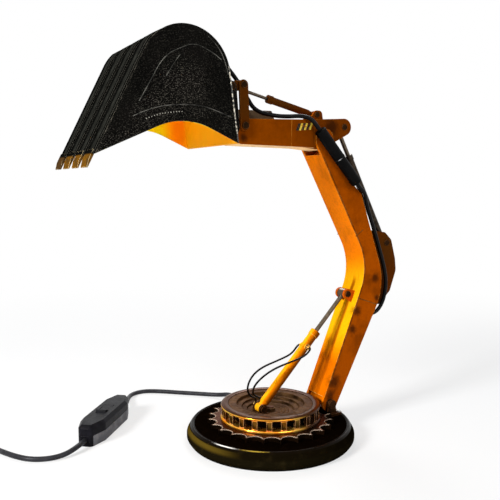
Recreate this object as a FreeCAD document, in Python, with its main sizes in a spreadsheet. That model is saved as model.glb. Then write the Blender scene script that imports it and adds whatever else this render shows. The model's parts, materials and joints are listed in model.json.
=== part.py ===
import FreeCAD, Part
import math
import os
import Sketcher

# Excavator table lamp, in millimetres.
# +Z is up, the bucket points along -X and the boom stands on the +X side of the base.
# The origin is the middle of the underside of the base. The arm lies in the plane y = 0.

V = FreeCAD.Vector
doc = FreeCAD.newDocument("excavator_lamp")
sheet = doc.addObject("Spreadsheet::Sheet", "Dims")
pieces = []


class Size:
    """A number of the model, with the words that tie it to the sheet."""

    def __init__(self, value, words):
        self.value = value
        self.words = words

    def __float__(self):
        return float(self.value)

    def __add__(self, other):
        return Size(self.value + float(other), "(%s + %s)" % (self.words, words_of(other)))

    def __radd__(self, other):
        return self + other

    def __sub__(self, other):
        return Size(self.value - float(other), "(%s - %s)" % (self.words, words_of(other)))

    def __rsub__(self, other):
        return Size(float(other) - self.value, "(%s - %s)" % (words_of(other), self.words))

    def __mul__(self, other):
        return Size(self.value * float(other), "%s * %s" % (self.words, words_of(other)))

    def __rmul__(self, other):
        return self * other

    def __truediv__(self, other):
        return Size(self.value / float(other), "%s / %s" % (self.words, words_of(other)))

    def __neg__(self):
        return Size(-self.value, "(0 - %s)" % self.words)


def words_of(number):
    if isinstance(number, Size):
        return number.words
    text = "%.9g" % number
    return "(%s)" % text if number < 0 else text


def dim(name, value):
    """A driving dimension: one row of the sheet, known everywhere by its alias."""
    row = dim.rows = getattr(dim, "rows", 0) + 1
    sheet.set("A%d" % row, name)
    sheet.set("B%d" % row, str(value))
    sheet.setAlias("B%d" % row, name)
    return Size(value, "Dims." + name)


def bind(thing, path, number):
    if isinstance(number, Size):
        thing.setExpression(path, number.words)


# Driving dimensions

# Base
base_radius = dim("base_radius", 85)
base_top = dim("base_top", 17.3)
base_recess_top = dim("base_recess_top", 10)
base_rim_width = dim("base_rim_width", 15)
foot_ring_thickness = dim("foot_ring_thickness", 1.5)
foot_ring_inset = dim("foot_ring_inset", 3)
foot_ring_width = dim("foot_ring_width", 10)
foot_centre_radius = dim("foot_centre_radius", 12)
cover_thickness = dim("cover_thickness", 1.5)
cover_screw_inset = dim("cover_screw_inset", 6)
cover_post_radius = dim("cover_post_radius", 4)
ballast_radius = dim("ballast_radius", 58)
stud_radius = dim("stud_radius", 3.5)
small_screw_radius = dim("small_screw_radius", 1.5)
small_head_radius = dim("small_head_radius", 2.6)
small_head_height = dim("small_head_height", 1.2)

# Turntable
sprocket_thickness = dim("sprocket_thickness", 4.7)
sprocket_radius = dim("sprocket_radius", 64)
sprocket_notch_radius = dim("sprocket_notch_radius", 8)
sprocket_teeth = 24
cage_radius = dim("cage_radius", 49.6)
cage_wall = dim("cage_wall", 3.2)
cage_height = dim("cage_height", 15)
cage_window_width = dim("cage_window_width", 8.8)
cage_window_height = dim("cage_window_height", 9)
cage_windows = 22
core_radius = dim("core_radius", 40)
core_wall = dim("core_wall", 4)
core_height = dim("core_height", 16.7)
dish_floor_height = dim("dish_floor_height", 11.2)
dish_thickness = dim("dish_thickness", 2)
dish_floor_radius = dim("dish_floor_radius", 24)
nut_across_flats = dim("nut_across_flats", 10)
nut_height = dim("nut_height", 3)

# Boom
boom_foot_x = dim("boom_foot_x", 63.2)
boom_foot_z = dim("boom_foot_z", 29.5)
boom_foot_radius = dim("boom_foot_radius", 8.8)
boom_tip_x = dim("boom_tip_x", 52.5)
boom_tip_z = dim("boom_tip_z", 302)
boom_tip_radius = dim("boom_tip_radius", 10.5)
boom_belly_x = dim("boom_belly_x", 112.5)
boom_belly_z = dim("boom_belly_z", 171.7)
boom_back_x = dim("boom_back_x", 136)
boom_back_z = dim("boom_back_z", 149.6)
boom_half_width = dim("boom_half_width", 15.5)
boom_side_wall = dim("boom_side_wall", 2.9)
boom_skin = dim("boom_skin", 2)
fork_slot_radius = dim("fork_slot_radius", 15.5)
boom_bush_radius = dim("boom_bush_radius", 5.6)
back_bracket_drop = dim("back_bracket_drop", 21.6)
back_bracket_rise = dim("back_bracket_rise", 16)
back_bracket_depth = dim("back_bracket_depth", 22.6)
bracket_gap = dim("bracket_gap", 0.4)
bracket_ear = dim("bracket_ear", 3.6)
bracket_plate = dim("bracket_plate", 2.5)
foot_pin_radius = dim("foot_pin_radius", 3)
tip_pin_radius = dim("tip_pin_radius", 3.2)

# Rams
running = dim("running", 0.05)
ram_pin_radius = dim("ram_pin_radius", 2)
small_pin_radius = dim("small_pin_radius", 1.7)
rod_eye_play = dim("rod_eye_play", 0.75)
ear_play = dim("ear_play", 0.3)
lug_wall = dim("lug_wall", 2.5)
boom_ram_foot_x = dim("boom_ram_foot_x", -12)
boom_ram_foot_z = dim("boom_ram_foot_z", 33)
boom_ram_head_x = dim("boom_ram_head_x", 91.5)
boom_ram_head_z = dim("boom_ram_head_z", 141.5)
boom_barrel_radius = dim("boom_barrel_radius", 4.8)
boom_barrel_length = dim("boom_barrel_length", 98)
boom_rod_radius = dim("boom_rod_radius", 2.25)
boom_ram_half = dim("boom_ram_half", 3.9)
hose_boss_place = dim("hose_boss_place", 78)
hose_boss_radius = dim("hose_boss_radius", 3.2)
hose_boss_face = dim("hose_boss_face", 5.3)
hose_radius = dim("hose_radius", 1)
stick_ram_foot_x = dim("stick_ram_foot_x", 144)
stick_ram_foot_z = dim("stick_ram_foot_z", 194)
stick_ram_head_x = dim("stick_ram_head_x", 80)
stick_ram_head_z = dim("stick_ram_head_z", 315.5)
stick_barrel_radius = dim("stick_barrel_radius", 4)
stick_barrel_length = dim("stick_barrel_length", 106)
stick_rod_radius = dim("stick_rod_radius", 2.25)
stick_ram_half = dim("stick_ram_half", 4.2)
stick_rod_half = dim("stick_rod_half", 2.8)
bucket_ram_foot_x = dim("bucket_ram_foot_x", 49.5)
bucket_ram_foot_z = dim("bucket_ram_foot_z", 327)
bucket_barrel_radius = dim("bucket_barrel_radius", 3.5)
bucket_barrel_length = dim("bucket_barrel_length", 56)
bucket_rod_radius = dim("bucket_rod_radius", 1.6)
bucket_ram_half = dim("bucket_ram_half", 4.2)
bucket_rod_half = dim("bucket_rod_half", 3.2)
bucket_lug_radius = dim("bucket_lug_radius", 4.2)
bucket_lug_base = dim("bucket_lug_base", 10.5)

# Stick
stick_half_width = dim("stick_half_width", 15.5)
stick_tail_half = dim("stick_tail_half", 12.3)
stick_wall = dim("stick_wall", 1.5)
stick_rear_gap = dim("stick_rear_gap", 11.5)
guard_height = dim("guard_height", 12)
bucket_pivot_x = dim("bucket_pivot_x", -52)
bucket_pivot_z = dim("bucket_pivot_z", 309)
nose_radius = dim("nose_radius", 8.5)
horn_radius = dim("horn_radius", 8.5)
rocker_foot_x = dim("rocker_foot_x", 12.5)
rocker_foot_z = dim("rocker_foot_z", 2.5)
rocker_head_x = dim("rocker_head_x", -1.5)
rocker_head_z = dim("rocker_head_z", 37)
linkage_gap = dim("linkage_gap", 0.7)
linkage_plate = dim("linkage_plate", 2.5)
rocker_tube_radius = dim("rocker_tube_radius", 3)
link_plate = dim("link_plate", 4)
link_pin_radius = dim("link_pin_radius", 2.2)
linkage_eye_radius = dim("linkage_eye_radius", 4.6)
ear_pivot_radius = dim("ear_pivot_radius", 6.5)
ear_link_radius = dim("ear_link_radius", 5)

# Bucket
bucket_half_width = dim("bucket_half_width", 52.5)
bucket_wall = dim("bucket_wall", 1.8)
crown_x = dim("crown_x", -113)
crown_z = dim("crown_z", 347.5)
crown_radius = dim("crown_radius", 40)
lip_x = dim("lip_x", -191)
lip_z = dim("lip_z", 281)
heel_x = dim("heel_x", -65)
heel_z = dim("heel_z", 292.3)
arch_x = dim("arch_x", -115.3)
arch_z = dim("arch_z", 314.6)
arch_radius = dim("arch_radius", 58)
rib_half_width = dim("rib_half_width", 10)
rib_height = dim("rib_height", 1.5)
rib_outer_place = dim("rib_outer_place", 41.5)
rib_inner_place = dim("rib_inner_place", 14.2)
tooth_reach = dim("tooth_reach", 12)
gland_angle = dim("gland_angle", 30)
holder_radius = dim("holder_radius", 13.5)
holder_length = dim("holder_length", 31)
bulb_radius = dim("bulb_radius", 21)
bulb_reach = dim("bulb_reach", 60)

# Cables and the mains lead
cable_radius = dim("cable_radius", 2.1)
sleeve_radius = dim("sleeve_radius", 5.75)
lead_radius = dim("lead_radius", 2.5)
lead_rest = dim("lead_rest", 2.6)
lead_entry = dim("lead_entry", 6.5)
relief_x = dim("relief_x", 18)
relief_z = dim("relief_z", 8)
relief_radius = dim("relief_radius", 4.4)
relief_end = dim("relief_end", 108)
switch_x = dim("switch_x", -139.7)
switch_y = dim("switch_y", 106.5)
switch_half_length = dim("switch_half_length", 50)
switch_half_width = dim("switch_half_width", 13.5)
switch_end_half = dim("switch_end_half", 7)
switch_end_round = dim("switch_end_round", 4.5)
switch_side_round = dim("switch_side_round", 10)
switch_seam = dim("switch_seam", 11)
switch_top = dim("switch_top", 21.5)
switch_turn = 49.75
rocker_half_length = dim("rocker_half_length", 11.4)
rocker_half_width = dim("rocker_half_width", 5.3)
rocker_rest_tilt = 7
coil_x = dim("coil_x", -300)
coil_y = dim("coil_y", 150)
coil_radius = dim("coil_radius", 37.5)
coil_pitch = dim("coil_pitch", 5.6)
coil_turns = 7.5
plug_half_height = dim("plug_half_height", 8)
plug_length = dim("plug_length", 36)
plug_half_width = dim("plug_half_width", 13)
plug_neck_half = dim("plug_neck_half", 5)
plug_pin_radius = dim("plug_pin_radius", 2)
plug_pin_reach = dim("plug_pin_reach", 19)
plug_lead = dim("plug_lead", 34)


# Sketch outlines
# An outline is a closed run of nodes, counter-clockwise as the sketch is seen.

class Corner:
    """A corner of an outline, rounded by a radius where it has one."""

    def __init__(self, x, z, radius=0):
        self.x, self.z, self.radius = x, z, radius

    def tangent_ball(self, leaving):
        return float(self.x), float(self.z), 0.0


class Disc:
    """A round that the outline runs on to and off tangentially; a hollow one has a negative radius."""

    def __init__(self, x, z, radius):
        self.x, self.z, self.radius = x, z, radius

    def tangent_ball(self, leaving):
        return float(self.x), float(self.z), float(self.radius)


class Arc:
    """A round between two given angles, in degrees; it runs clockwise where the second is less."""

    def __init__(self, x, z, radius, start, end):
        self.x, self.z, self.radius, self.start, self.end = x, z, radius, start, end

    def tangent_ball(self, leaving):
        angle = math.radians(self.end if leaving else self.start)
        reach = float(self.radius)
        return float(self.x) + reach * math.cos(angle), float(self.z) + reach * math.sin(angle), 0.0


class Circle:
    """A whole circle, an outline by itself."""

    def __init__(self, x, z, radius):
        self.x, self.z, self.radius = x, z, radius


def line_normals(nodes):
    """The outward normal of the line that leaves each node."""
    normals = []
    for here, following in zip(nodes, nodes[1:] + nodes[:1]):
        ax, az, a_radius = here.tangent_ball(True)
        bx, bz, b_radius = following.tangent_ball(False)
        length = math.hypot(bx - ax, bz - az)
        ux, uz = (bx - ax) / length, (bz - az) / length
        lean = (a_radius - b_radius) / length
        square = math.sqrt(1 - lean * lean)
        normals.append((lean * ux + square * uz, lean * uz - square * ux))
    return normals


def turn_between(before, after):
    cross = before[0] * after[1] - before[1] * after[0]
    return math.atan2(cross, before[0] * after[0] + before[1] * after[1])


def node_arc(node, before, after):
    """The start, end, middle and centre of a node's arc, as numbers of its radius, and its sense."""
    if isinstance(node, Arc):
        angles = [math.radians(a) for a in (node.start, node.end, (node.start + node.end) / 2)]
        start, end, middle = [(math.cos(a), math.sin(a)) for a in angles]
        return start, end, middle, (0, 0), node.end > node.start
    turn = turn_between(before, after)
    if isinstance(node, Disc):
        hollow = float(node.radius) < 0
        if hollow and turn > 0:
            turn -= 2 * math.pi
        if not hollow and turn < 0:
            turn += 2 * math.pi
        angle = math.atan2(before[1], before[0]) + turn / 2
        return before, after, (math.cos(angle), math.sin(angle)), (0, 0), not hollow
    pull = math.tan(abs(turn) / 2)
    start = (pull * before[1], -pull * before[0])
    end = (-pull * after[1], pull * after[0])
    sense = 1 if turn > 0 else -1
    centre = (start[0] - sense * before[0], start[1] - sense * before[1])
    reach = math.hypot(*centre)
    middle = (centre[0] * (1 - 1 / reach), centre[1] * (1 - 1 / reach))
    return start, end, middle, centre, turn > 0


def place_on(node, number):
    return node.x + node.radius * number[0], node.z + node.radius * number[1]


def flat(place):
    return V(float(place[0]), float(place[1]), 0)


def draw_circle(sketch, circle):
    centre = V(float(circle.x), float(circle.z), 0)
    index = sketch.addGeometry(Part.Circle(centre, V(0, 0, 1), float(circle.radius)), False)
    fix_point(sketch, index, 3, (circle.x, circle.z))
    made = sketch.addConstraint(Sketcher.Constraint("Radius", index, float(circle.radius)))
    bind(sketch, "Constraints[%d]" % made, circle.radius)


def fix_point(sketch, index, end, place, kinds=("DistanceX", "DistanceY")):
    for kind, number in zip(("DistanceX", "DistanceY"), place):
        if kind in kinds:
            made = sketch.addConstraint(Sketcher.Constraint(kind, -1, 1, index, end, float(number)))
            bind(sketch, "Constraints[%d]" % made, number)


def draw_outline(sketch, nodes):
    """Lines and arcs through the nodes, each start held to the sheet and each end to the next start."""
    if isinstance(nodes, Circle):
        draw_circle(sketch, nodes)
        return
    normals = line_normals(nodes)
    starts, ends, elements = [], [], []
    for i, node in enumerate(nodes):
        start = end = (node.x, node.z)
        arc = node_arc(node, normals[i - 1], normals[i]) if float(node.radius) else None
        if arc and (flat(arc[0]) - flat(arc[1])).Length * abs(float(node.radius)) > 1e-4:
            start, end = place_on(node, arc[0]), place_on(node, arc[1])
            order = [flat(start), flat(place_on(node, arc[2])), flat(end)]
            first, last = (1, 2) if arc[4] else (2, 1)
            if not arc[4]:
                order.reverse()
            chord = flat(end) - flat(start)
            across = "DistanceY" if abs(chord.x) > abs(chord.y) else "DistanceX"
            elements.append((Part.Arc(*order), first, last, start, (place_on(node, arc[3]), across)))
        starts.append(start)
        ends.append(end)
        elements.append(("line", i))
    drawn = []
    for element in elements:
        if element[0] != "line":
            drawn.append(element)
            continue
        here = ends[element[1]]
        there = starts[(element[1] + 1) % len(nodes)]
        if (flat(here) - flat(there)).Length > 1e-4:
            drawn.append((Part.LineSegment(flat(here), flat(there)), 1, 2, here, None))
    indices = [sketch.addGeometry(element[0], False) for element in drawn]
    for i, (index, element) in enumerate(zip(indices, drawn)):
        following = (i + 1) % len(drawn)
        joint = Sketcher.Constraint("Coincident", index, element[2], indices[following], drawn[following][1])
        sketch.addConstraint(joint)
    for index, element in zip(indices, drawn):
        fix_point(sketch, index, element[1], element[3])
        if element[4] is not None:
            fix_point(sketch, index, 3, *element[4])


def inset(nodes, depth):
    """The same outline drawn a depth further in."""
    normals = line_normals(nodes)
    moved = []
    for i, node in enumerate(nodes):
        before, after = normals[i - 1], normals[i]
        if isinstance(node, Disc):
            moved.append(Disc(node.x, node.z, node.radius - depth))
            continue
        share = 1 + before[0] * after[0] + before[1] * after[1]
        x = node.x - depth * ((before[0] + after[0]) / share)
        z = node.z - depth * ((before[1] + after[1]) / share)
        convex = turn_between(before, after) > 0
        radius = node.radius
        if float(radius):
            radius = radius - depth if convex else radius + depth
        if float(radius) < 0:
            radius = 0
        moved.append(Corner(x, z, radius))
    return moved


def box(x0, z0, x1, z1, radius=0):
    return [Corner(x0, z0, radius), Corner(x1, z0, radius), Corner(x1, z1, radius), Corner(x0, z1, radius)]


def bar(radius, low, high, edge):
    """Half the section of a round bar with rounded ends, to be turned."""
    return [Corner(0, low), Corner(radius, low, edge), Corner(radius, high, edge), Corner(0, high)]


def hexagon(x, z, across_flats):
    reach = across_flats / math.sqrt(3)
    angles = [math.radians(60 * i) for i in range(6)]
    return [Corner(x + reach * math.cos(a), z + reach * math.sin(a)) for a in angles]


# Features

def new_body(name):
    body = doc.addObject("PartDesign::Body", name)
    body.Label = name
    body.AllowCompound = True
    pieces.append(body)
    return body


def set_down(body, x, y, z, axis=V(0, 0, 1), degrees=0):
    """The place of a sub-part that is drawn in its own frame."""
    body.Placement = FreeCAD.Placement(V(float(x), float(y), float(z)), FreeCAD.Rotation(axis, degrees))
    for letter, number in zip("xyz", (x, y, z)):
        bind(body, ".Placement.Base." + letter, number)


def plane_of(body, role):
    return next(f for f in body.Origin.OriginFeatures if f.Role == role)


def sketch_on(body, plane, outlines, offset, tilt=None):
    """A sketch on an origin plane, moved along its normal, or tilted as a placement says."""
    sketch = body.newObject("Sketcher::SketchObject", body.Label + "_outline")
    sketch.AttachmentSupport = [(plane_of(body, plane + "_Plane"), "")]
    sketch.MapMode = "FlatFace"
    if tilt is None:
        sketch.AttachmentOffset = FreeCAD.Placement(V(0, 0, float(offset)), FreeCAD.Rotation())
        bind(sketch, ".AttachmentOffset.Base.z", offset)
    else:
        sketch.AttachmentOffset = tilt
    for outline in outlines:
        draw_outline(sketch, outline)
    return sketch


def extrude(body, kind, sketch, length, symmetric=False):
    feature = body.newObject("PartDesign::" + kind, body.Label + "_" + kind.lower())
    feature.Profile = sketch
    feature.Length = float(length)
    bind(feature, "Length", length)
    if symmetric:
        feature.SideType = "Symmetric"
    doc.recompute()
    return feature


def pad(body, plane, outlines, low, high):
    """Outlines made solid between two places along the plane's axis."""
    start = -1 * high if plane == "XZ" else low
    return extrude(body, "Pad", sketch_on(body, plane, outlines, start), high - low)


def cut(body, plane, outlines, low, high):
    """Outlines cut out between two places along the plane's axis."""
    start = -1 * low if plane == "XZ" else high
    before = body.Shape.Volume
    feature = extrude(body, "Pocket", sketch_on(body, plane, outlines, start), high - low)
    if body.Shape.Volume > before - 1e-6:
        raise RuntimeError(body.Label + ": a cut removes nothing")
    return feature


def both_sides(make, body, outlines, inner, outer):
    """The same plate on the near and on the far side of the arm."""
    make(body, "XZ", outlines, inner, outer)
    make(body, "XZ", outlines, -1 * outer, -1 * inner)


def revolve(body, outline, kind="Revolution"):
    """An outline in radius and height, turned round the body's own Z axis."""
    sketch = sketch_on(body, "XZ", [outline], 0)
    feature = body.newObject("PartDesign::" + kind, body.Label + "_turned")
    feature.Profile = sketch
    feature.ReferenceAxis = (sketch, ["V_Axis"])
    feature.Angle = 360
    doc.recompute()
    return feature


def repeat_round(body, feature, count):
    pattern = body.newObject("PartDesign::PolarPattern", body.Label + "_pattern")
    pattern.Originals = [feature]
    pattern.Axis = (plane_of(body, "Z_Axis"), [""])
    pattern.Angle = 360
    pattern.Occurrences = count
    body.Tip = pattern
    doc.recompute()


def taper(body, outline, low, high, depth):
    """An outline made solid that narrows by a depth on every side as it rises."""
    feature = body.newObject("PartDesign::AdditiveLoft", body.Label + "_taper")
    feature.Profile = sketch_on(body, "XY", [outline], low)
    feature.Sections = [sketch_on(body, "XY", [inset(outline, depth)], high)]
    feature.Ruled = True
    doc.recompute()


def tilted(x, y, z, direction):
    return FreeCAD.Placement(V(float(x), float(y), float(z)), FreeCAD.Rotation(V(0, 0, 1), V(*direction)))


def tilted_hole(body, at, direction, radius, length):
    """A round hole centred on a point, along any direction."""
    before = body.Shape.Volume
    sketch = sketch_on(body, "XY", [Circle(0, 0, radius)], 0, tilted(*at, direction))
    extrude(body, "Pocket", sketch, length, symmetric=True)
    if body.Shape.Volume > before - 1e-6:
        raise RuntimeError(body.Label + ": a hole removes nothing")


def direction_between(x0, z0, x1, z1):
    dx, dz = float(x1) - float(x0), float(z1) - float(z0)
    length = math.hypot(dx, dz)
    return dx / length, dz / length, length


# Base

base_recess_radius = base_radius - base_rim_width
foot_ring_outer = base_radius - foot_ring_inset
foot_ring_inner = foot_ring_outer - foot_ring_width
cover_screw_circle = base_recess_radius - cover_screw_inset

foot_pads = new_body("base_pad")
revolve(foot_pads, box(foot_ring_inner, 0, foot_ring_outer, foot_ring_thickness, 0.4))
pad(foot_pads, "XY", [Circle(0, 0, foot_centre_radius)], 0, foot_ring_thickness)

base_plate = new_body("base_plate")
stud_bore = stud_radius
revolve(base_plate, [
    Corner(stud_bore, base_recess_top),
    Corner(base_recess_radius, base_recess_top),
    Corner(base_recess_radius, foot_ring_thickness),
    Corner(base_radius - 2, foot_ring_thickness, 0.8),
    Corner(base_radius, foot_ring_thickness + 3, 3),
    Corner(base_radius, base_top - 7.8, 5),
    Corner(base_radius - 3.4, base_top - 1.7, 1.5),
    Corner(base_radius - 5.4, base_top + 0.6, 1),
    Corner(base_radius - 6.9, base_top - 0.5, 0.4),
    Corner(base_radius - 7.6, base_top, 0.2),
    Corner(stud_bore, base_top),
])
cover_top = foot_ring_thickness + cover_thickness
screw_angles = [math.radians(a) for a in (45, 135, 225, 315)]
cover_screw_places = [
    (cover_screw_circle * math.cos(a), cover_screw_circle * math.sin(a)) for a in screw_angles
]
post_circles = [Circle(x, y, cover_post_radius) for x, y in cover_screw_places]
pad(base_plate, "XY", post_circles, cover_top, base_recess_top + 0.5)
cover_screw_circles = [Circle(x, y, small_screw_radius) for x, y in cover_screw_places]
cover_screw_depth = base_recess_top - 1
cut(base_plate, "XY", cover_screw_circles, cover_top - 1, cover_screw_depth)
cut(base_plate, "XZ", [Circle(relief_x, relief_z, relief_radius)], base_radius - 30, base_radius + 5)
bracket_screw_x = (boom_foot_x - 9.7, boom_foot_x + 9)
bracket_screw_y = boom_half_width + 3.5
bracket_screw_places = [(x, y) for x in bracket_screw_x for y in (bracket_screw_y, -bracket_screw_y)]
bracket_screw_circles = [Circle(x, y, small_screw_radius) for x, y in bracket_screw_places]
bracket_screw_depth = base_top - 5
cut(base_plate, "XY", bracket_screw_circles, bracket_screw_depth, base_top + 1)
wire_hole = Circle(boom_foot_x, 0, 3.5)
cut(base_plate, "XY", [wire_hole], base_recess_top - 1, base_top + 1)

base_cover = new_body("base_cover")
pad(base_cover, "XY", [Circle(0, 0, base_recess_radius - 0.2)], foot_ring_thickness, cover_top)
cut(base_cover, "XY", cover_screw_circles, foot_ring_thickness - 1, cover_top + 1)

cover_screws = new_body("cover_screws")
cover_heads = [Circle(x, y, small_head_radius) for x, y in cover_screw_places]
pad(cover_screws, "XY", cover_heads, foot_ring_thickness - small_head_height, foot_ring_thickness)
pad(cover_screws, "XY", cover_screw_circles, foot_ring_thickness - 0.5, cover_screw_depth)

ballast_disc = new_body("ballast_disc")
stud_head_radius = stud_radius + 3
ballast_hole = Circle(0, 0, stud_head_radius + 2)
pad(ballast_disc, "XY", [Circle(0, 0, ballast_radius), ballast_hole], cover_top, base_recess_top)

# Turntable

deck = base_top + sprocket_thickness
core_top = base_top + core_height
dish_floor = base_top + dish_floor_height

hub_core = new_body("hub_core")
core_boss = stud_radius + 5.5
dish_under = dish_floor - dish_thickness
revolve(hub_core, [
    Corner(stud_bore, base_top),
    Corner(core_radius, base_top),
    Corner(core_radius, core_top),
    Corner(core_radius - core_wall, core_top),
    Corner(core_radius - core_wall, deck, 1),
    Corner(core_boss, deck, 1),
    Corner(core_boss, dish_under),
    Corner(stud_bore, dish_under),
])

sprocket_ring = new_body("sprocket_ring")
pad(sprocket_ring, "XY", [Circle(0, 0, sprocket_radius), Circle(0, 0, core_radius)], base_top, deck)
notch = cut(sprocket_ring, "XY", [Circle(sprocket_radius, 0, sprocket_notch_radius)], base_top - 1, deck + 1)
repeat_round(sprocket_ring, notch, sprocket_teeth)
bracket_plate_half = boom_half_width + 6.5
bracket_plate_front = boom_foot_x - 13
notch_for_bracket = box(
    bracket_plate_front - 0.5, -1 * bracket_plate_half - 0.5, sprocket_radius + 5, bracket_plate_half + 0.5
)
cut(sprocket_ring, "XY", [notch_for_bracket], base_top - 1, deck + 1)

hub_cage = new_body("hub_cage")
cage_inner = cage_radius - cage_wall
cage_top = deck + cage_height
window_low = deck + 3
window_high = window_low + cage_window_height
cage_mouth = core_radius + 3
revolve(hub_cage, [
    Corner(core_radius, deck),
    Corner(cage_radius + 1.4, deck, 0.8),
    Corner(cage_radius + 1.4, deck + 2.6, 1.2),
    Corner(cage_radius, window_low),
    Corner(cage_radius, window_high),
    Corner(cage_radius + 1, window_high + 0.9, 0.8),
    Corner(cage_radius + 0.5, cage_top - 0.5, 1.8),
    Corner(cage_radius - 2.4, cage_top + 0.4, 1.2),
    Corner(cage_mouth, cage_top - 0.1, 0.6),
    Corner(cage_mouth, window_high + 0.6),
    Corner(cage_inner, window_high),
    Corner(cage_inner, window_low),
    Corner(core_radius, deck + 2.6),
])
half_window = cage_window_width / 2
window = box(-1 * half_window, window_low, half_window, window_high, 0.8)
cage_window = cut(hub_cage, "YZ", [window], cage_inner - 2, cage_radius + 3)
repeat_round(hub_cage, cage_window, cage_windows)

dish_plate = new_body("dish_plate")
dish_step = (cage_top - 0.5 - dish_floor) / 3.5
dish_rim_inner = core_radius - core_wall - 1.4
dish_ring = (dish_rim_inner - dish_floor_radius) / 2
groove_nodes = []
for groove_radius in (19, 15.5, 12):
    groove_nodes += [
        Corner(groove_radius + 0.5, dish_floor),
        Corner(groove_radius, dish_floor - 0.5),
        Corner(groove_radius - 0.5, dish_floor),
    ]
revolve(dish_plate, [
    Corner(stud_bore, dish_under),
    Corner(dish_floor_radius, dish_under, 1),
    Corner(dish_rim_inner - 1, dish_floor + dish_step - 0.6, 1),
    Corner(dish_rim_inner + 1.2, dish_floor + dish_step),
    Corner(dish_rim_inner + 1.2, core_top),
    Corner(cage_mouth - 0.1, core_top),
    Corner(cage_mouth - 0.1, cage_top - 0.5, 0.6),
    Corner(dish_rim_inner, cage_top - 0.5, 0.6),
    Corner(dish_rim_inner - 0.6, dish_floor + 2.2 * dish_step, 0.5),
    Corner(dish_floor_radius + dish_ring, dish_floor + 2 * dish_step, 0.5),
    Corner(dish_floor_radius + dish_ring - 0.6, dish_floor + 1.1 * dish_step, 0.5),
    Corner(dish_floor_radius, dish_floor + 0.9 * dish_step, 0.5),
    Corner(dish_floor_radius - 0.6, dish_floor, 0.5),
] + groove_nodes + [Corner(stud_bore, dish_floor)])

centre_stud = new_body("centre_stud")
stud_top = dish_floor + nut_height + 0.8
stud_head_height = 4
revolve(centre_stud, [
    Corner(0, base_recess_top - stud_head_height),
    Corner(stud_head_radius, base_recess_top - stud_head_height, 0.5),
    Corner(stud_head_radius, base_recess_top),
    Corner(stud_radius, base_recess_top),
    Corner(stud_radius, stud_top, 0.8),
    Corner(0, stud_top),
])

centre_nut = new_body("centre_nut")
pad(centre_nut, "XY", [hexagon(0, 0, nut_across_flats), Circle(0, 0, stud_bore)], dish_floor, dish_floor + nut_height)

# Foot of the boom ram, in the dish

ear_inner = boom_ram_half + ear_play
ear_outer = ear_inner + lug_wall
ram_foot_eye = boom_ram_foot_z - dish_floor - 0.2

cylinder_foot_bracket = new_body("cylinder_foot_bracket")
foot_ear = [
    Corner(boom_ram_foot_x - 4.6, dish_floor),
    Corner(boom_ram_foot_x + 4.6, dish_floor),
    Disc(boom_ram_foot_x, boom_ram_foot_z, 4.6),
]
flange = box(boom_ram_foot_x - 4.6, dish_floor, boom_ram_foot_x + 4.6, dish_floor + 1)
both_sides(pad, cylinder_foot_bracket, [foot_ear], ear_inner, ear_outer)
both_sides(pad, cylinder_foot_bracket, [flange], ear_outer - 0.5, ear_outer + 3.5)
foot_pin_hole = Circle(boom_ram_foot_x, boom_ram_foot_z, ram_pin_radius)
both_sides(cut, cylinder_foot_bracket, [foot_pin_hole], ear_inner - 1, ear_outer + 1)


def pin(body, x, z, radius, half, head_radius, head):
    """A clevis pin along Y, with a round head on each end."""
    pad(body, "XZ", [Circle(x, z, radius)], -1 * half, half)
    if head:
        both_sides(pad, body, [Circle(x, z, head_radius)], half, half + head)


bracket_ear_inner = boom_half_width + bracket_gap
bracket_ear_outer = bracket_ear_inner + bracket_ear

base_pins = new_body("base_pins")
pin(base_pins, boom_ram_foot_x, boom_ram_foot_z, ram_pin_radius, ear_outer, ram_pin_radius + 1.3, 1.3)
pin(base_pins, boom_foot_x, boom_foot_z, foot_pin_radius, bracket_ear_outer, foot_pin_radius + 1.6, 1.8)

hose_ports = new_body("hose_ports")
port_places = ((-2.5, 13.6), (-6.5, 18.4))
port_top = dish_floor + 4
pad(hose_ports, "XY", [hexagon(x, y, 5.4) for x, y in port_places], dish_floor, dish_floor + 2.6)
pad(hose_ports, "XY", [Circle(x, y, hose_radius + 0.6) for x, y in port_places], dish_floor + 1, port_top)

# Boom bracket

boom_bracket = new_body("boom_bracket")
bracket_top = base_top + bracket_plate
bracket_outline = box(
    bracket_plate_front, -1 * bracket_plate_half, boom_foot_x + 12.3, bracket_plate_half, 3
)
pad(boom_bracket, "XY", [bracket_outline], base_top, bracket_top)
bracket_ear_radius = 4.8
bracket_ear_outline = [
    Corner(boom_foot_x - 6, base_top + 1),
    Corner(boom_foot_x + 6, base_top + 1),
    Disc(boom_foot_x, boom_foot_z, bracket_ear_radius),
]
both_sides(pad, boom_bracket, [bracket_ear_outline], bracket_ear_inner, bracket_ear_outer)
boom_foot_hole = Circle(boom_foot_x, boom_foot_z, foot_pin_radius)
both_sides(cut, boom_bracket, [boom_foot_hole], bracket_ear_inner - 0.2, bracket_ear_outer + 1)
cut(boom_bracket, "XY", bracket_screw_circles, base_top - 1, bracket_top + 1)
cut(boom_bracket, "XY", [wire_hole], base_top - 1, bracket_top + 1)

bracket_screws = new_body("bracket_screws")
bracket_heads = [Circle(x, y, small_head_radius - 0.2) for x, y in bracket_screw_places]
pad(bracket_screws, "XY", bracket_heads, bracket_top, bracket_top + 1.6)
pad(bracket_screws, "XY", bracket_screw_circles, bracket_screw_depth, bracket_top + 0.5)
slot_half = 0.4
head_slots = [
    box(x - small_head_radius, y - slot_half, x + small_head_radius, y + slot_half)
    for x, y in bracket_screw_places
]
cut(bracket_screws, "XY", head_slots, bracket_top + 1, bracket_top + 2)

# Strain relief, drawn along its own Z and laid along +Y

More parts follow.
